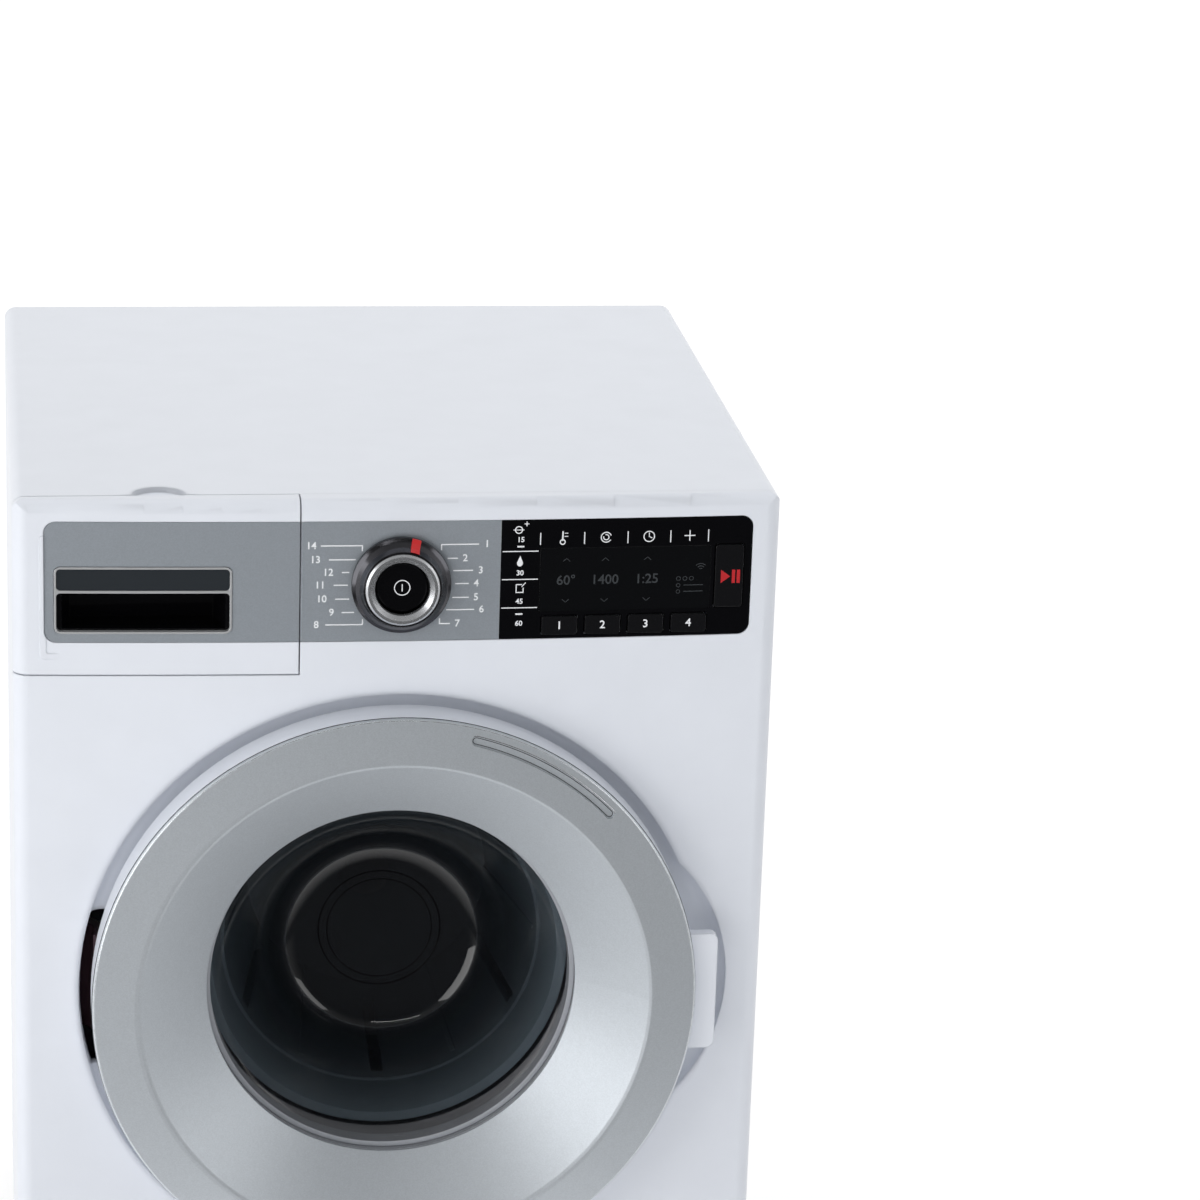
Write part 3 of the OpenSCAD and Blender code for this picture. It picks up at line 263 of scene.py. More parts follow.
# Shared effect: the slight waviness and speckle of moulded plastic.
moulded, given, made = new_group(
    "moulded_skin",
    [
        ("Color", "NodeSocketColor", (1, 1, 1, 1)),
        ("Roughness", "NodeSocketFloat", 0.3),
        ("Waviness", "NodeSocketFloat", 0.1),
        ("Edge", "NodeSocketFloat", 0.0004),
    ],
    [("Color", "NodeSocketColor"), ("Roughness", "NodeSocketFloat"), ("Normal", "NodeSocketVector")],
)
place = add_node(moulded, "ShaderNodeTexCoord")
wave = add_node(
    moulded, "ShaderNodeTexNoise", None, {"Scale": 90.0, "Detail": 2.0}, {"Vector": place.outputs["Object"]}
)
speck = add_node(
    moulded, "ShaderNodeTexNoise", None, {"Scale": 700.0, "Detail": 1.0}, {"Vector": place.outputs["Object"]}
)
tone = add_node(
    moulded, "ShaderNodeMapRange", None, {"To Min": 0.97, "To Max": 1.02}, {"Value": wave.outputs["Fac"]}
)
shade = add_node(
    moulded,
    "ShaderNodeVectorMath",
    {"operation": "SCALE"},
    None,
    {0: given.outputs["Color"], "Scale": tone.outputs["Result"]},
)
dull = add_node(
    moulded, "ShaderNodeMapRange", None, {"To Min": 0.96, "To Max": 1.04}, {"Value": speck.outputs["Fac"]}
)
gloss = add_node(
    moulded,
    "ShaderNodeMath",
    {"operation": "MULTIPLY"},
    None,
    {0: given.outputs["Roughness"], 1: dull.outputs["Result"]},
)
rounded = add_node(moulded, "ShaderNodeBevel", {"samples": 6}, None, {"Radius": given.outputs["Edge"]})
skin = add_node(
    moulded,
    "ShaderNodeBump",
    None,
    {"Distance": 0.0002},
    {
        "Height": wave.outputs["Fac"],
        "Strength": given.outputs["Waviness"],
        "Normal": rounded.outputs["Normal"],
    },
)
moulded.links.new(shade.outputs[0], made.inputs["Color"])
moulded.links.new(gloss.outputs[0], made.inputs["Roughness"])
moulded.links.new(skin.outputs["Normal"], made.inputs["Normal"])


def surface(name, effect, effect_values, shader_values):
    """A material whose shader takes colour, roughness and normal from a shared effect."""
    material = bpy.data.materials.new(name)
    material.use_nodes = True
    tree = material.node_tree
    shader = tree.nodes["Principled BSDF"]
    for socket, value in shader_values.items():
        shader.inputs[socket].default_value = value
    skin = add_node(tree, "ShaderNodeGroup", {"node_tree": effect}, effect_values)
    for source, target in (("Color", "Base Color"), ("Roughness", "Roughness"), ("Normal", "Normal")):
        tree.links.new(skin.outputs[source], shader.inputs[target])
    return material


def dress(material, *names):
    """Gives each named CAD node one material in place of its own."""
    for name in names:
        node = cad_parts[name]
        node.data.materials.clear()
        node.data.materials.append(material)


white_plastic = surface(
    "white_plastic",
    moulded,
    {"Color": white_colour, "Roughness": 0.3, "Waviness": 0.02, "Edge": white_edge},
    {"Specular IOR Level": 0.45},
)
dress(
    white_plastic,
    "rear_panel", "base_plate", "battery_cover", "drawer_front", "drawer_tray",
    "dispenser_box", "door_frame", "window_retainer",
)

# Round the door's recess, and round the thumb notch on top, the same plastic has rolled edges.
door_axis_z = round(sum(corner[2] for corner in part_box("door_bezel")) / 2, 6)
# (name, middle, directions that count, radius in m that the roll ends within, its size, node)
rolled = [
    ("white_front", (0, 0, door_axis_z), (1, 0, 1), 0.0812, 0.0028, "front_panel"),
    ("white_shell", (-0.0576, -0.0791, 0.26), (1, 1, 1), 0.0085, 0.0022, "housing"),
]
for name, middle, directions, reach, roll, node in rolled:
    material = surface(
        name,
        moulded,
        {"Color": white_colour, "Roughness": 0.3, "Waviness": 0.02, "Edge": white_edge},
        {"Specular IOR Level": 0.45},
    )
    tree = material.node_tree
    place = add_node(tree, "ShaderNodeTexCoord")
    away = add_node(
        tree, "ShaderNodeVectorMath", {"operation": "SUBTRACT"}, {1: middle}, {0: place.outputs["Object"]}
    )
    across = add_node(
        tree,
        "ShaderNodeVectorMath",
        {"operation": "MULTIPLY"},
        {1: directions},
        {0: away.outputs[0]},
    )
    radius = add_node(tree, "ShaderNodeVectorMath", {"operation": "LENGTH"}, None, {0: across.outputs[0]})
    near_edge = add_node(
        tree,
        "ShaderNodeMapRange",
        None,
        {"From Min": reach, "From Max": reach + 0.002, "To Min": roll, "To Max": white_edge},
        {"Value": radius.outputs["Value"]},
    )
    skin = next(part for part in tree.nodes if part.type == "GROUP")
    tree.links.new(near_edge.outputs["Result"], skin.inputs["Edge"])
    dress(material, node)

# Rubber and steel: the feet, the door's seal, the drain plug and the domes under
# the keys are soft light rubber. Screws, pins, drum shaft, motor bracket and
# battery contacts are plain steel.
rubber_colour = (0.66, 0.65, 0.67, 1)
steel_colour = (0.60, 0.60, 0.62, 1)
light_rubber = surface(
    "light_rubber",
    moulded,
    {"Color": rubber_colour, "Roughness": 0.62, "Waviness": 0.2, "Edge": 0.0003},
    {"Specular IOR Level": 0.3},
)
dress(light_rubber, "feet", "tub_seal", "drain_plug", "key_switches")

# Shared effect: fine turning and drawing marks on plain metal.
drawn_metal, given, made = new_group(
    "drawn_metal",
    [("Color", "NodeSocketColor", (1, 1, 1, 1)), ("Roughness", "NodeSocketFloat", 0.3)],
    [("Color", "NodeSocketColor"), ("Roughness", "NodeSocketFloat"), ("Normal", "NodeSocketVector")],
)
place = add_node(drawn_metal, "ShaderNodeTexCoord")
marks = add_node(
    drawn_metal,
    "ShaderNodeTexNoise",
    None,
    {"Scale": 1500.0, "Detail": 3.0},
    {"Vector": place.outputs["Object"]},
)
tone = add_node(
    drawn_metal, "ShaderNodeMapRange", None, {"To Min": 0.9, "To Max": 1.06}, {"Value": marks.outputs["Fac"]}
)
shade = add_node(
    drawn_metal,
    "ShaderNodeVectorMath",
    {"operation": "SCALE"},
    None,
    {0: given.outputs["Color"], "Scale": tone.outputs["Result"]},
)
dull = add_node(
    drawn_metal, "ShaderNodeMapRange", None, {"To Min": 0.8, "To Max": 1.3}, {"Value": marks.outputs["Fac"]}
)
gloss = add_node(
    drawn_metal,
    "ShaderNodeMath",
    {"operation": "MULTIPLY"},
    None,
    {0: given.outputs["Roughness"], 1: dull.outputs["Result"]},
)
skin = add_node(
    drawn_metal,
    "ShaderNodeBump",
    None,
    {"Distance": 0.00002, "Strength": 0.4},
    {"Height": marks.outputs["Fac"]},
)
drawn_metal.links.new(shade.outputs[0], made.inputs["Color"])
drawn_metal.links.new(gloss.outputs[0], made.inputs["Roughness"])
drawn_metal.links.new(skin.outputs["Normal"], made.inputs["Normal"])
steel = surface(
    "steel", drawn_metal, {"Color": steel_colour, "Roughness": 0.3}, {"Metallic": 1.0}
)
dress(
    steel, "case_screws", "door_screws", "cover_screw", "hinge_pin", "drum_shaft", "motor_bracket",
    "battery_contacts",
)

# Drawer: a silver-painted plate let into the white front, with a black grip
# pocket in a thin bright frame and a slate plate across the pocket's top.
silver_colour = (0.46, 0.50, 0.545, 1)
chrome_colour = (0.78, 0.79, 0.80, 1)
gloss_black_colour = (0.0022, 0.0022, 0.003, 1)
slate_colour = (0.022, 0.027, 0.032, 1)

# Shared effect: silver paint, whose fine flakes each catch the light a little differently.
flake_paint, given, made = new_group(
    "flake_paint",
    [
        ("Color", "NodeSocketColor", (1, 1, 1, 1)),
        ("Roughness", "NodeSocketFloat", 0.4),
        ("Sparkle", "NodeSocketFloat", 0.3),
        ("Edge", "NodeSocketFloat", 0.0002),
    ],
    [("Color", "NodeSocketColor"), ("Roughness", "NodeSocketFloat"), ("Normal", "NodeSocketVector")],
)
place = add_node(flake_paint, "ShaderNodeTexCoord")
flakes = add_node(
    flake_paint, "ShaderNodeTexVoronoi", None, {"Scale": 4200.0}, {"Vector": place.outputs["Object"]}
)
clouds = add_node(
    flake_paint,
    "ShaderNodeTexNoise",
    None,
    {"Scale": 320.0, "Detail": 4.0},
    {"Vector": place.outputs["Object"]},
)
glint = add_node(
    flake_paint, "ShaderNodeSeparateColor", None, None, {"Color": flakes.outputs["Color"]}
)
tone = add_node(
    flake_paint, "ShaderNodeMapRange", None, {"To Min": 0.96, "To Max": 1.05}, {"Value": glint.outputs["Red"]}
)
drift = add_node(
    flake_paint,
    "ShaderNodeMapRange",
    None,
    {"To Min": 0.98, "To Max": 1.02},
    {"Value": clouds.outputs["Fac"]},
)
both = add_node(
    flake_paint,
    "ShaderNodeMath",
    {"operation": "MULTIPLY"},
    None,
    {0: tone.outputs["Result"], 1: drift.outputs["Result"]},
)
shade = add_node(
    flake_paint,
    "ShaderNodeVectorMath",
    {"operation": "SCALE"},
    None,
    {0: given.outputs["Color"], "Scale": both.outputs[0]},
)
dull = add_node(
    flake_paint,
    "ShaderNodeMapRange",
    None,
    {"To Min": 0.93, "To Max": 1.08},
    {"Value": glint.outputs["Green"]},
)
gloss = add_node(
    flake_paint,
    "ShaderNodeMath",
    {"operation": "MULTIPLY"},
    None,
    {0: given.outputs["Roughness"], 1: dull.outputs["Result"]},
)
rounded = add_node(flake_paint, "ShaderNodeBevel", {"samples": 4}, None, {"Radius": given.outputs["Edge"]})
skin = add_node(
    flake_paint,
    "ShaderNodeBump",
    None,
    {"Distance": 0.00004},
    {
        "Height": glint.outputs["Blue"],
        "Strength": given.outputs["Sparkle"],
        "Normal": rounded.outputs["Normal"],
    },
)
flake_paint.links.new(shade.outputs[0], made.inputs["Color"])
flake_paint.links.new(gloss.outputs[0], made.inputs["Roughness"])
flake_paint.links.new(skin.outputs["Normal"], made.inputs["Normal"])

silver_paint = surface(
    "silver_paint",
    flake_paint,
    {"Color": silver_colour, "Roughness": 0.42, "Sparkle": 0.1, "Edge": 0.0002},
    {"Metallic": 0.55, "Coat Weight": 0.15, "Coat Roughness": 0.2},
)
dress(silver_paint, "drawer_label")
bright_chrome = surface(
    "bright_chrome", drawn_metal, {"Color": chrome_colour, "Roughness": 0.09}, {"Metallic": 1.0}
)
satin_chrome = surface(
    "satin_chrome",
    moulded,
    {"Color": chrome_colour, "Roughness": 0.22, "Waviness": 0.0, "Edge": 0.0002},
    {"Metallic": 0.6},
)
dress(satin_chrome, "pull_trim")
black_gloss = surface(
    "black_gloss",
    moulded,
    {"Color": gloss_black_colour, "Roughness": 0.12, "Waviness": 0.02, "Edge": 0.0002},
    {"Specular IOR Level": 0.3},
)
dress(black_gloss, "drawer_pull")
slate_plastic = surface(
    "slate_plastic",
    moulded,
    {"Color": slate_colour, "Roughness": 0.25, "Waviness": 0.05, "Edge": 0.0003},
    {"Specular IOR Level": 0.5},
)
dress(slate_plastic, "pull_plate")

# Control strip: a silver-painted plate and a black panel, both bowed with the
# front, and printed in white with a mark and a number for each program.
front_plane = round(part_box("front_panel")[0][1], 6)
bow_radius = 1.6467
strip_sink = 0.0001
ink_lift = 0.00003
ink_white_colour = (0.90, 0.91, 0.93, 1)
program_size = 0.0025
program_line = 0.30
# (line from, line to, number, where the number stands)
program_marks = [
    ([(-9.4, 247.7), (-9.4, 248.9), (-19.2, 248.9)], "14", -21.6),
    ([(-11.1, 245.4), (-17.2, 245.4)], "13", -20.6),
    ([(-12.6, 242.2), (-14.1, 242.2)], "12", -17.5),
    ([(-12.9, 239.0), (-16.0, 239.0)], "11", -19.4),
    ([(-12.5, 235.5), (-15.6, 235.5)], "10", -19.0),
    ([(-11.3, 232.1), (-14.0, 232.1)], "9", -16.6),
    ([(-9.1, 230.2), (-9.1, 229.0), (-17.9, 229.0)], "8", -20.2),
    ([(9.6, 247.7), (9.6, 249.0), (18.5, 249.0)], "1", 20.6),
    ([(11.3, 245.5), (13.4, 245.5)], "2", 15.4),
    ([(12.7, 242.4), (17.2, 242.4)], "3", 19.2),
    ([(13.2, 239.1), (16.2, 239.1)], "4", 18.2),
    ([(12.6, 235.6), (16.3, 235.6)], "5", 18.2),
    ([(11.2, 232.5), (17.7, 232.5)], "6", 19.6),
    ([(9.5, 230.2), (9.5, 229.0), (11.9, 229.0)], "7", 13.8),
]


def bow_at(x):
    """How far the bowed front falls back from its middle at x, in metres."""
    return bow_radius - math.sqrt(bow_radius**2 - x**2)


def stroke(points, width):
    """Outlines, in mm, of a line of one width through points."""
    outlines = []
    for (x0, z0), (x1, z1) in zip(points, points[1:]):
        length = math.hypot(x1 - x0, z1 - z0)
        along = ((x1 - x0) / length * width / 2, (z1 - z0) / length * width / 2)
        across = (-along[1], along[0])
        start = (x0 - along[0], z0 - along[1])
        end = (x1 + along[0], z1 + along[1])
        outlines.append(
            [
                (start[0] + across[0], start[1] + across[1]),
                (start[0] - across[0], start[1] - across[1]),
                (end[0] - across[0], end[1] - across[1]),
                (end[0] + across[0], end[1] + across[1]),
            ]
        )
    return outlines


def arc(x, z, radius, from_angle, to_angle, width, steps=24):
    """Outlines of a curved line: part of a circle, angles in degrees from the right."""
    edge = []
    for step in range(steps + 1):
        angle = math.radians(from_angle + (to_angle - from_angle) * step / steps)
        edge.append((math.cos(angle), math.sin(angle)))
    inner = [(x + (radius - width / 2) * c, z + (radius - width / 2) * s) for c, s in edge]
    outer = [(x + (radius + width / 2) * c, z + (radius + width / 2) * s) for c, s in edge]
    return [[inner[i], inner[i + 1], outer[i + 1], outer[i]] for i in range(steps)]


def block(x0, z0, x1, z1):
    """Outline of a filled rectangle."""
    return [[(x0, z0), (x1, z0), (x1, z1), (x0, z1)]]


def printed(name, outlines, ink, body, flat_at=None, depth=strip_sink):
    """Ink outlines, given in mm in front view, laid on the bowed front or on a flat face."""
    mesh = bpy.data.meshes.new(name)
    points, faces = [], []
    for outline in outlines:
        faces.append(list(range(len(points), len(points) + len(outline))))
        for x, z in outline:
            y = flat_at if flat_at is not None else front_plane + bow_at(x / 1000) + depth
            points.append((x / 1000, y - ink_lift, z / 1000))
    mesh.from_pydata(points, [], faces)
    made = bmesh.new()
    made.from_mesh(mesh)
    for face in made.faces:
        face.normal_update()
        if face.normal.y > 0:
            face.normal_flip()
    made.to_mesh(mesh)
    made.free()
    mesh.materials.append(ink)
    print_piece = bpy.data.objects.new(name, mesh)
    bpy.context.collection.objects.link(print_piece)
    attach(print_piece, body)
    return print_piece


def number(name, words, x, z, size, ink, body, flat_at=None, depth=strip_sink):
    """A printed number, centred on x and z in mm."""
    font = bpy.data.curves.new(name + "_type", "FONT")
    font.body = words
    font.size = size
    font.align_x = "CENTER"
    font.align_y = "CENTER"
    font.resolution_u = 3
    font.offset = 0.00004
    setting = bpy.data.objects.new(name + "_type", font)
    bpy.context.collection.objects.link(setting)
    bpy.context.view_layer.update()
    mesh = bpy.data.meshes.new_from_object(setting)
    bpy.data.objects.remove(setting)
    for point in mesh.vertices:
        across, up = x / 1000 + point.co.x, z / 1000 + point.co.y
        y = flat_at if flat_at is not None else front_plane + bow_at(across) + depth
        point.co = (across, y - ink_lift, up)
    mesh.materials.clear()
    mesh.materials.append(ink)
    mesh.name = name
    print_piece = bpy.data.objects.new(name, mesh)
    bpy.context.collection.objects.link(print_piece)
    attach(print_piece, body)
    return print_piece


# Shared effect: screen-printed ink, thinner in places than in others.
print_film, given, made = new_group(
    "print_film",
    [("Color", "NodeSocketColor", (1, 1, 1, 1)), ("Roughness", "NodeSocketFloat", 0.4)],
    [("Color", "NodeSocketColor"), ("Roughness", "NodeSocketFloat"), ("Normal", "NodeSocketVector")],
)
place = add_node(print_film, "ShaderNodeTexCoord")
grain = add_node(
    print_film,
    "ShaderNodeTexNoise",
    None,
    {"Scale": 6000.0, "Detail": 2.0},
    {"Vector": place.outputs["Object"]},
)
tone = add_node(
    print_film, "ShaderNodeMapRange", None, {"To Min": 0.86, "To Max": 1.06}, {"Value": grain.outputs["Fac"]}
)
shade = add_node(
    print_film,
    "ShaderNodeVectorMath",
    {"operation": "SCALE"},
    None,
    {0: given.outputs["Color"], "Scale": tone.outputs["Result"]},
)
skin = add_node(
    print_film,
    "ShaderNodeBump",
    None,
    {"Distance": 0.00001, "Strength": 0.3},
    {"Height": grain.outputs["Fac"]},
)
print_film.links.new(shade.outputs[0], made.inputs["Color"])
print_film.links.new(given.outputs["Roughness"], made.inputs["Roughness"])
print_film.links.new(skin.outputs["Normal"], made.inputs["Normal"])

white_ink = surface("white_ink", print_film, {"Color": ink_white_colour, "Roughness": 0.45}, {})
dress(silver_paint, "fascia_plate")
lines = []
for points, words, number_x in program_marks:
    lines += stroke(points, program_line)
printed("program_lines", lines, white_ink, "cabinet")
for points, words, number_x in program_marks:
    number(f"program_{words}", words, number_x, points[-1][1], program_size, white_ink, "cabinet")

# Display: a gloss black panel printed in white, and a dark glossy pane whose
# figures and signs show only dimly while the toy is off.
ink_dim_colour = (0.045, 0.05, 0.055, 1)
ink_white_small = 0.0018
pane_colour = (0.0035, 0.0038, 0.0045, 1)
figure_size = 0.0034
figures = [("60°", 40.0), ("1400", 49.5), ("1:25", 59.8)]
head_lines_x = [33.5, 44.2, 54.8, 65.3, 74.6]
side_lines_z = [247.0, 239.9, 232.7]
side_x0, side_x1 = 24.5, 33.0
sign_line = 0.24

dress(black_gloss, "display_panel")
clear_pane = surface(
    "clear_pane",
    moulded,
    {"Color": pane_colour, "Roughness": 0.08, "Waviness": 0.01, "Edge": 0.0001},
    {"Specular IOR Level": 0.3},
)
dress(clear_pane, "display_window")
dim_ink = surface("dim_ink", print_film, {"Color": ink_dim_colour, "Roughness": 0.35}, {})
pane_depth = strip_sink + 0.00005

signs = []
for x in head_lines_x:
    signs += stroke([(x, 248.7), (x, 251.5)], sign_line)
for z in side_lines_z:
    signs += stroke([(side_x0, z), (side_x1, z)], sign_line)
# a ring with a cross, a drop, and a square with an arrow, over short bars
signs += arc(28.2, 252.4, 0.85, 0, 360, 0.26) + stroke([(29.6, 253.9), (30.6, 253.9)], 0.2)
signs += stroke([(30.1, 253.4), (30.1, 254.4)], 0.2) + stroke([(27.0, 252.4), (29.4, 252.4)], 0.2)
signs += [
    [(28.0, 243.6), (28.4, 243.2), (28.9, 243.2), (29.3, 243.6), (29.4, 244.1), (28.7, 245.9), (27.9, 244.1)]
]
signs += stroke([(29.2, 238.6), (27.9, 238.6), (27.9, 236.6), (29.6, 236.6), (29.6, 237.7)], sign_line)
signs += stroke([(29.3, 238.1), (30.1, 239.0)], 0.22) + block(27.9, 248.0, 29.6, 248.4)
signs += block(27.9, 230.9, 29.6, 231.3)
printed("panel_signs", signs, white_ink, "cabinet")
for words, z in (("15", 249.9), ("30", 241.5), ("45", 234.3), ("60", 228.7)):
    number(f"side_number_{words}", words, 28.75, z, ink_white_small, white_ink, "cabinet")

# over each figure of the display, the sign of what it sets: heat, spin, time, more
heads = arc(38.9, 249.2, 0.6, 0, 360, 0.26) + block(38.72, 249.5, 39.08, 251.9)
heads += stroke([(39.4, 251.4), (40.1, 251.4)], 0.18) + stroke([(39.4, 250.6), (40.1, 250.6)], 0.18)
heads += arc(49.5, 250.2, 1.25, 20, 330, sign_line) + arc(49.5, 250.2, 0.65, 160, 470, sign_line)
heads += arc(60.0, 250.2, 1.3, 0, 360, sign_line) + stroke([(60.0, 251.1), (60.0, 250.2), (60.7, 249.8)], 0.2)
heads += stroke([(68.8, 250.2), (71.2, 250.2)], 0.26) + stroke([(70.0, 249.0), (70.0, 251.4)], 0.26)
printed("head_signs", heads, white_ink, "cabinet")

for words, x in figures:
    number(f"figure_{words.strip('°').replace(':', '_')}", words, x, 239.4, figure_size, dim_ink, "cabinet",
           depth=pane_depth)
faint = []
for words, x in figures:
    faint += stroke([(x - 0.8, 244.3), (x, 245.0), (x + 0.8, 244.3)], 0.16)
    faint += stroke([(x - 0.8, 234.6), (x, 233.9), (x + 0.8, 234.6)], 0.16)
for radius in (0.5, 1.1, 1.7):
    faint += arc(73.0, 241.3, radius, 45, 135, 0.2, steps=10)
for x in (67.6, 69.2, 70.8):
    faint += arc(x, 239.3, 0.5, 0, 360, 0.16, steps=16)
for z in (237.6, 236.0):
    faint += stroke([(69.0, z), (73.6, z)], 0.2) + arc(67.6, z, 0.45, 0, 360, 0.16, steps=16)
printed("faint_signs", faint, dim_ink, "cabinet", depth=pane_depth)

# Keys: flat black caps that stand just proud of the panel. The lower four are
# printed with their numbers and the start key with a red play-and-pause sign.
key_proud = 0.00035
key_centres = (38.63, 49.21, 59.79, 70.37)
ink_red_colour = (0.55, 0.012, 0.018, 1)
key_black = surface(
    "key_black",
    moulded,
    {"Color": (0.006, 0.006, 0.007, 1), "Roughness": 0.2, "Waviness": 0.02, "Edge": 0.0003},
    {"Specular IOR Level": 0.3},
)
dress(key_black, "key_1", "key_2", "key_3", "key_4", "start_key")
red_ink = surface("red_ink", print_film, {"Color": ink_red_colour, "Roughness": 0.4}, {})
for place_in_row, x in enumerate(key_centres, start=1):
    face = front_plane + bow_at(x / 1000) - key_proud
    number(f"key_number_{place_in_row}", str(place_in_row), x, 228.1, 0.0028, white_ink,
           f"key_{place_in_row}", flat_at=face)
play = [[(78.0, 238.0), (80.3, 239.7), (78.0, 241.4)]]
play += block(80.7, 238.0, 81.5, 241.4) + block(81.9, 238.0, 82.7, 241.4)
printed("start_sign", play, red_ink, "start_key", flat_at=front_plane + bow_at(0.08) - key_proud)

# Dial: a polished skirt with a red mark, a broad satin ring, and in the middle
# the black power button with a printed sign of a ring and a bar.
satin_silver = surface(
    "satin_silver",
    moulded,
    {"Color": (0.62, 0.63, 0.65, 1), "Roughness": 0.27, "Waviness": 0.0, "Edge": 0.0},
    {"Metallic": 0.85},
)
dress(satin_silver, "dial_ring")
smoked_chrome = surface(
    "smoked_chrome",
    moulded,
    {"Color": (0.075, 0.075, 0.082, 1), "Roughness": 0.16, "Waviness": 0.0, "Edge": 0.0004},
    {"Metallic": 1.0},
)
dress(smoked_chrome, "dial_skirt")
pointer_red = surface(
    "pointer_red",
    moulded,
    {"Color": (0.62, 0.02, 0.022, 1), "Roughness": 0.3, "Waviness": 0.05, "Edge": 0.0002},
    {"Specular IOR Level": 0.5},
)
dress(pointer_red, "dial_pointer")
grey_plastic = surface(
    "grey_plastic",
    moulded,
    {"Color": (0.17, 0.175, 0.18, 1), "Roughness": 0.4, "Waviness": 0.1, "Edge": 0.0003},
    {"Specular IOR Level": 0.4},
)
dress(grey_plastic, "dial_stem", "dial_encoder", "speaker", "inlet_chute", "latch_hook", "latch_catch")
dress(black_gloss, "power_cap")
power_sign = arc(0, 239.3, 1.85, 0, 360, sign_line, steps=36) + stroke([(0, 238.5), (0, 240.1)], sign_line)
printed("power_sign", power_sign, white_ink, "power_button", flat_at=front_plane - 0.0032)

# Door: a white frame with a grip at its right, and on it a ring in silver paint
# whose outer slope has a long groove. The hinge arm at its left is dark brown.
door_silver = surface(
    "door_silver",
    flake_paint,
    {"Color": (0.58, 0.615, 0.65, 1), "Roughness": 0.5, "Sparkle": 0.08, "Edge": 0.0003},
    {"Metallic": 0.58, "Coat Weight": 0.1, "Coat Roughness": 0.3},
)
dress(door_silver, "door_bezel")
hinge_brown = surface(
    "hinge_brown",
    moulded,
    {"Color": (0.075, 0.042, 0.055, 1), "Roughness": 0.35, "Waviness": 0.05, "Edge": 0.0003},
    {"Specular IOR Level": 0.4},
)
dress(hinge_brown, "hinge_arm")
# Painted shade: a dark material for thin wires laid in the seam round the ring and in the groove.
painted_seam_shade = surface(
    "painted_seam_shade",
    moulded,
    {"Color": (0.06, 0.062, 0.07, 1), "Roughness": 0.5, "Waviness": 0.02, "Edge": 0.0001},
    {"Specular IOR Level": 0.3},
)

# (radius, depth, thickness) in mm of the fine lines round the ring, and of those
# that follow the groove at (distance from its middle line, depth, thickness); the dark
# lines are painted shade in the seam and in the groove, the bright ones are chrome beads.
rim_lines = [("rim_seam_shade", 74.22, -8.75, 0.13, painted_seam_shade), ("rim_bead", 73.75, -9.78, 0.14, bright_chrome)]
groove_lines = [
    ("groove_bead", 1.3, -10.22, 0.13, bright_chrome),
    ("groove_line", 0.8, -9.95, 0.12, painted_seam_shade),
]
groove_radius, groove_from, groove_to = 70.8, 43.9, 75.3


def wire(name, points, thickness, material, body):
    """A closed round wire through points given in mm as (x, depth behind the front's middle, z)."""
    curve = bpy.data.curves.new(name, "CURVE")
    curve.dimensions = "3D"
    curve.bevel_depth = thickness / 1000
    curve.bevel_resolution = 2
    path = curve.splines.new("POLY")
    path.points.add(len(points) - 1)
    for point, (x, depth, z) in zip(path.points, points):
        point.co = (x / 1000, front_plane + depth / 1000, z / 1000, 1)
    path.use_cyclic_u = True
    shape = bpy.data.objects.new(name + "_path", curve)
    bpy.context.collection.objects.link(shape)
    bpy.context.view_layer.update()
    mesh = bpy.data.meshes.new_from_object(shape)
    bpy.data.objects.remove(shape)
    for face in mesh.polygons:
        face.use_smooth = True
    mesh.materials.clear()
    mesh.materials.append(material)
    mesh.name = name
    made = bpy.data.objects.new(name, mesh)
    bpy.context.collection.objects.link(made)
    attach(made, body)
    return made


def ring_points(radius, depth, steps=180):
    """Points of a circle about the door's axis."""
    turns = [2 * math.pi * step / steps for step in range(steps)]
    return [(radius * math.cos(turn), depth, door_axis_z * 1000 + radius * math.sin(turn)) for turn in turns]


def slot_points(aside, depth, steps=40):
    """Points of a long slot with round ends that follows the ring."""
    points = []
    for side, first, last in ((1, groove_from, groove_to), (-1, groove_to, groove_from)):
        for step in range(steps + 1):
            turn = math.radians(first + (last - first) * step / steps)
            radius = groove_radius + side * aside
            points.append((radius * math.cos(turn), depth, door_axis_z * 1000 + radius * math.sin(turn)))
        turn = math.radians(last)
        along = 1 if side > 0 else -1
        for step in range(1, 8):
            bend = math.pi * step / 8
            radius = groove_radius + side * aside * math.cos(bend)
            ahead = along * aside * math.sin(bend)
            points.append(
                (
                    radius * math.cos(turn) - ahead * math.sin(turn),
                    depth,
                    door_axis_z * 1000 + radius * math.sin(turn) + ahead * math.cos(turn),
                )
            )
    return points


for name, radius, depth, thickness, material in rim_lines:
    wire(name, ring_points(radius, depth), thickness, material, "door")
for name, aside, depth, thickness, material in groove_lines:
    wire(name, slot_points(aside, depth), thickness, material, "door")

# Window: a smoked clear bowl, pressed in one piece, that hangs into the drum
# with a smooth rolled shoulder and a flat round bottom. Towards the bottom its smoke is painted denser, as
# painted shade of the deep drum behind it.
smoke_colour = (0.008, 0.009, 0.011, 1)
# painted shade: the bowl's alpha at its bottom and at its wall, and the radii in m between which it changes
smoke_and_shade_bottom, smoke_wall = 0.74, 0.28
smoke_shade_reach = (0.024, 0.042)
bowl_turns = 160
bowl_bottom = 38.7
# (radius, depth behind the front's middle) along the outside, in mm
bowl_face = [
    (46.05, 4.6), (44.6, 4.6), (43.2, 4.75), (42.3, 5.5), (41.6, 6.7), (38.9, 11.4), (36.2, 16.1),
    (33.4, 20.9), (31.0, 25.2), (29.9, 27.6), (29.2, 30.4), (28.1, 33.2), (26.3, 35.6), (24.0, 37.1),
    (21.3, 38.1), (18.9, 38.6), (17.4, bowl_bottom), (12.0, bowl_bottom), (6.0, bowl_bottom),
]
bowl_wall = 2.0
disc_rings = [(15.6, 0.16), (13.4, 0.12)]


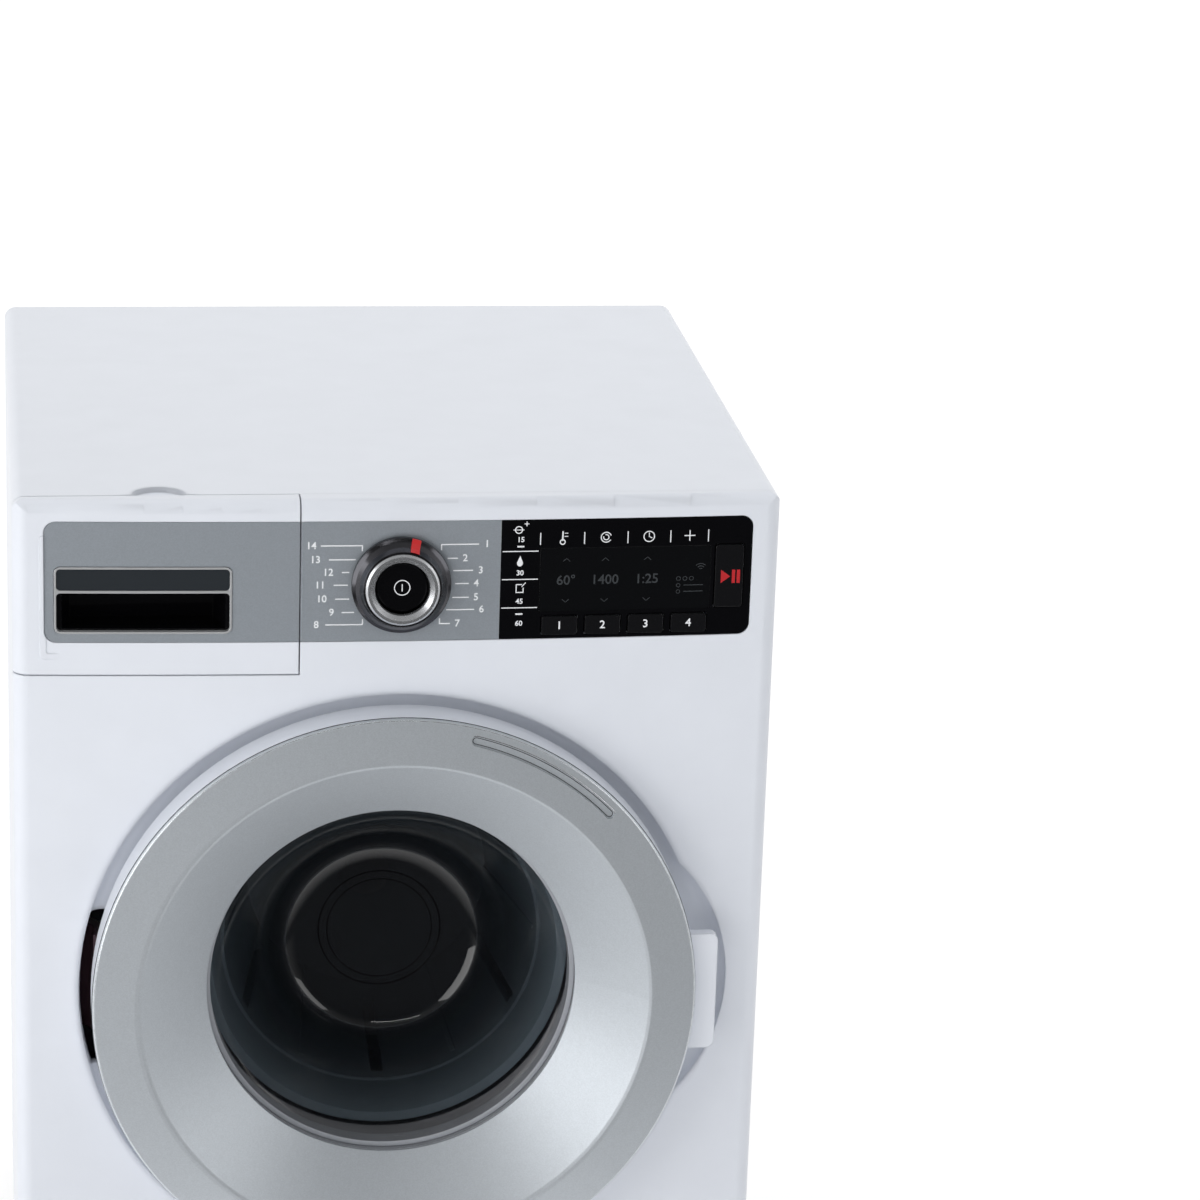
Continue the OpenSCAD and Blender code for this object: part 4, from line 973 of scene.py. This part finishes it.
def lathe(name, profile, turns, axis_z, close=False):
    """A mesh spun about the door's axis from (radius, depth) points in mm."""
    mesh = bpy.data.meshes.new(name)
    made = bmesh.new()
    rings = []
    for radius, depth in profile:
        if radius < 0.0001:
            rings.append([made.verts.new((0, front_plane + depth / 1000, axis_z))])
            continue
        ring = []
        for turn in range(turns):
            angle = 2 * math.pi * turn / turns
            ring.append(
                made.verts.new(
                    (
                        radius / 1000 * math.cos(angle),
                        front_plane + depth / 1000,
                        axis_z + radius / 1000 * math.sin(angle),
                    )
                )
            )
        rings.append(ring)
    pairs = list(zip(rings, rings[1:])) + ([(rings[-1], rings[0])] if close else [])
    for first, second in pairs:
        if len(first) == len(second) == 1:
            continue
        for turn in range(turns):
            after = (turn + 1) % turns
            corners = [first[turn % len(first)], first[after % len(first)]]
            corners += [second[after % len(second)], second[turn % len(second)]]
            face = [corner for at, corner in enumerate(corners) if corner not in corners[:at]]
            made.faces.new(face)
    bmesh.ops.recalc_face_normals(made, faces=made.faces)
    for face in made.faces:
        face.smooth = True
    made.to_mesh(mesh)
    made.free()
    spun = bpy.data.objects.new(name, mesh)
    bpy.context.collection.objects.link(spun)
    return spun


def thickened(profile, wall):
    """The back of a lathe profile, a wall's thickness behind it, from the middle outwards."""
    back = []
    for at, (radius, depth) in enumerate(profile):
        before, after = profile[max(at - 1, 0)], profile[min(at + 1, len(profile) - 1)]
        run, rise = after[0] - before[0], after[1] - before[1]
        length = math.hypot(run, rise)
        back.append((min(radius + rise / length * wall, profile[0][0]), depth - run / length * wall))
    return back[::-1]


smoked_clear = bpy.data.materials.new("smoked_clear")
smoked_clear.use_nodes = True
glass = smoked_clear.node_tree
shader = glass.nodes["Principled BSDF"]
shader.inputs["Specular IOR Level"].default_value = 0.6
shader.inputs["Coat Weight"].default_value = 0.4
place = add_node(glass, "ShaderNodeTexCoord")
streaks = add_node(
    glass, "ShaderNodeTexNoise", None, {"Scale": 60.0, "Detail": 3.0}, {"Vector": place.outputs["Object"]}
)
tone = add_node(
    glass, "ShaderNodeMapRange", None, {"To Min": 0.92, "To Max": 1.05}, {"Value": streaks.outputs["Fac"]}
)
shade = add_node(
    glass,
    "ShaderNodeVectorMath",
    {"operation": "SCALE"},
    {0: smoke_colour[:3]},
    {"Scale": tone.outputs["Result"]},
)
gloss = add_node(
    glass, "ShaderNodeMapRange", None, {"To Min": 0.02, "To Max": 0.06}, {"Value": streaks.outputs["Fac"]}
)
ripple = add_node(
    glass, "ShaderNodeBump", None, {"Distance": 0.0001, "Strength": 0.06}, {"Height": streaks.outputs["Fac"]}
)
from_axis = add_node(glass, "ShaderNodeVectorMath", {"operation": "SUBTRACT"}, {1: (0, 0, door_axis_z)},
                     {0: place.outputs["Object"]})
across = add_node(glass, "ShaderNodeVectorMath", {"operation": "MULTIPLY"}, {1: (1, 0, 1)},
                  {0: from_axis.outputs[0]})
radius = add_node(glass, "ShaderNodeVectorMath", {"operation": "LENGTH"}, None, {0: across.outputs[0]})
# painted shade: the smoke grows denser from the wall towards the flat bottom
smoke_and_painted_shade = add_node(
    glass,
    "ShaderNodeMapRange",
    {"interpolation_type": "SMOOTHSTEP"},
    {
        "From Min": smoke_shade_reach[0],
        "From Max": smoke_shade_reach[1],
        "To Min": smoke_and_shade_bottom,
        "To Max": smoke_wall,
    },
    {"Value": radius.outputs["Value"]},
)
glass.links.new(shade.outputs[0], shader.inputs["Base Color"])
glass.links.new(gloss.outputs["Result"], shader.inputs["Roughness"])
glass.links.new(ripple.outputs["Normal"], shader.inputs["Normal"])
glass.links.new(smoke_and_painted_shade.outputs["Result"], shader.inputs["Alpha"])

bowl_profile = bowl_face + [(0, bowl_bottom), (0, bowl_bottom + bowl_wall)] + thickened(bowl_face, bowl_wall)
window_bowl = lathe("window_bowl", bowl_profile, bowl_turns, door_axis_z, close=True)
window_bowl.data.materials.append(smoked_clear)
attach(window_bowl, "door")
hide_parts("door_window")
for place_in_row, (radius, thickness) in enumerate(disc_rings, start=1):
    circle = ring_points(radius, bowl_bottom - 0.02, 96)
    wire(f"bowl_ring_{place_in_row}", circle, thickness, black_gloss, "door")

# Drum: blue-grey plastic, a tapered lip in front of a slotted basket,
# driven from behind by a pair of white gears.
drum_colour = (0.31, 0.39, 0.45, 1)
drum_plastic = surface(
    "drum_plastic",
    moulded,
    {"Color": drum_colour, "Roughness": 0.3, "Waviness": 0.08, "Edge": 0.0003},
    {"Specular IOR Level": 0.5},
)
dress(drum_plastic, "drum", "drum_ring")
tub_plastic = surface(
    "tub_plastic",
    moulded,
    {"Color": (0.55, 0.55, 0.57, 1), "Roughness": 0.45, "Waviness": 0.1, "Edge": 0.0004},
    {"Specular IOR Level": 0.35},
)
dress(tub_plastic, "tub", "drain_spout")
gear_white = surface(
    "gear_white",
    moulded,
    {"Color": (0.78, 0.77, 0.72, 1), "Roughness": 0.4, "Waviness": 0.05, "Edge": 0.0002},
    {"Specular IOR Level": 0.4, "Subsurface Weight": 0.1},
)
dress(gear_white, "drum_gear", "motor_pinion")
brass = surface(
    "brass_bush",
    drawn_metal,
    {"Color": (0.66, 0.48, 0.22, 1), "Roughness": 0.28},
    {"Metallic": 1.0},
)
dress(brass, "shaft_bush")

# Works: a circuit board with its display, a small motor and three batteries.
board_green = surface(
    "board_green",
    moulded,
    {"Color": (0.012, 0.13, 0.055, 1), "Roughness": 0.35, "Waviness": 0.3, "Edge": 0.0001},
    {"Specular IOR Level": 0.5, "Coat Weight": 0.3},
)
dress(board_green, "circuit_board")
display_dark = surface(
    "display_dark",
    moulded,
    {"Color": (0.05, 0.058, 0.062, 1), "Roughness": 0.2, "Waviness": 0.02, "Edge": 0.0001},
    {"Specular IOR Level": 0.5},
)
dress(display_dark, "lcd_module")
motor_case = surface(
    "motor_case", drawn_metal, {"Color": (0.52, 0.53, 0.55, 1), "Roughness": 0.24}, {"Metallic": 1.0}
)
dress(motor_case, "motor")
dark_plastic = surface(
    "dark_plastic",
    moulded,
    {"Color": (0.03, 0.031, 0.034, 1), "Roughness": 0.45, "Waviness": 0.15, "Edge": 0.0004},
    {"Specular IOR Level": 0.4},
)
dress(dark_plastic, "battery_box", "hinge_bracket")
battery_wrap = surface(
    "battery_wrap",
    moulded,
    {"Color": (0.045, 0.08, 0.14, 1), "Roughness": 0.3, "Waviness": 0.04, "Edge": 0.0003},
    {"Specular IOR Level": 0.5, "Metallic": 0.2},
)
dress(battery_wrap, "batteries")
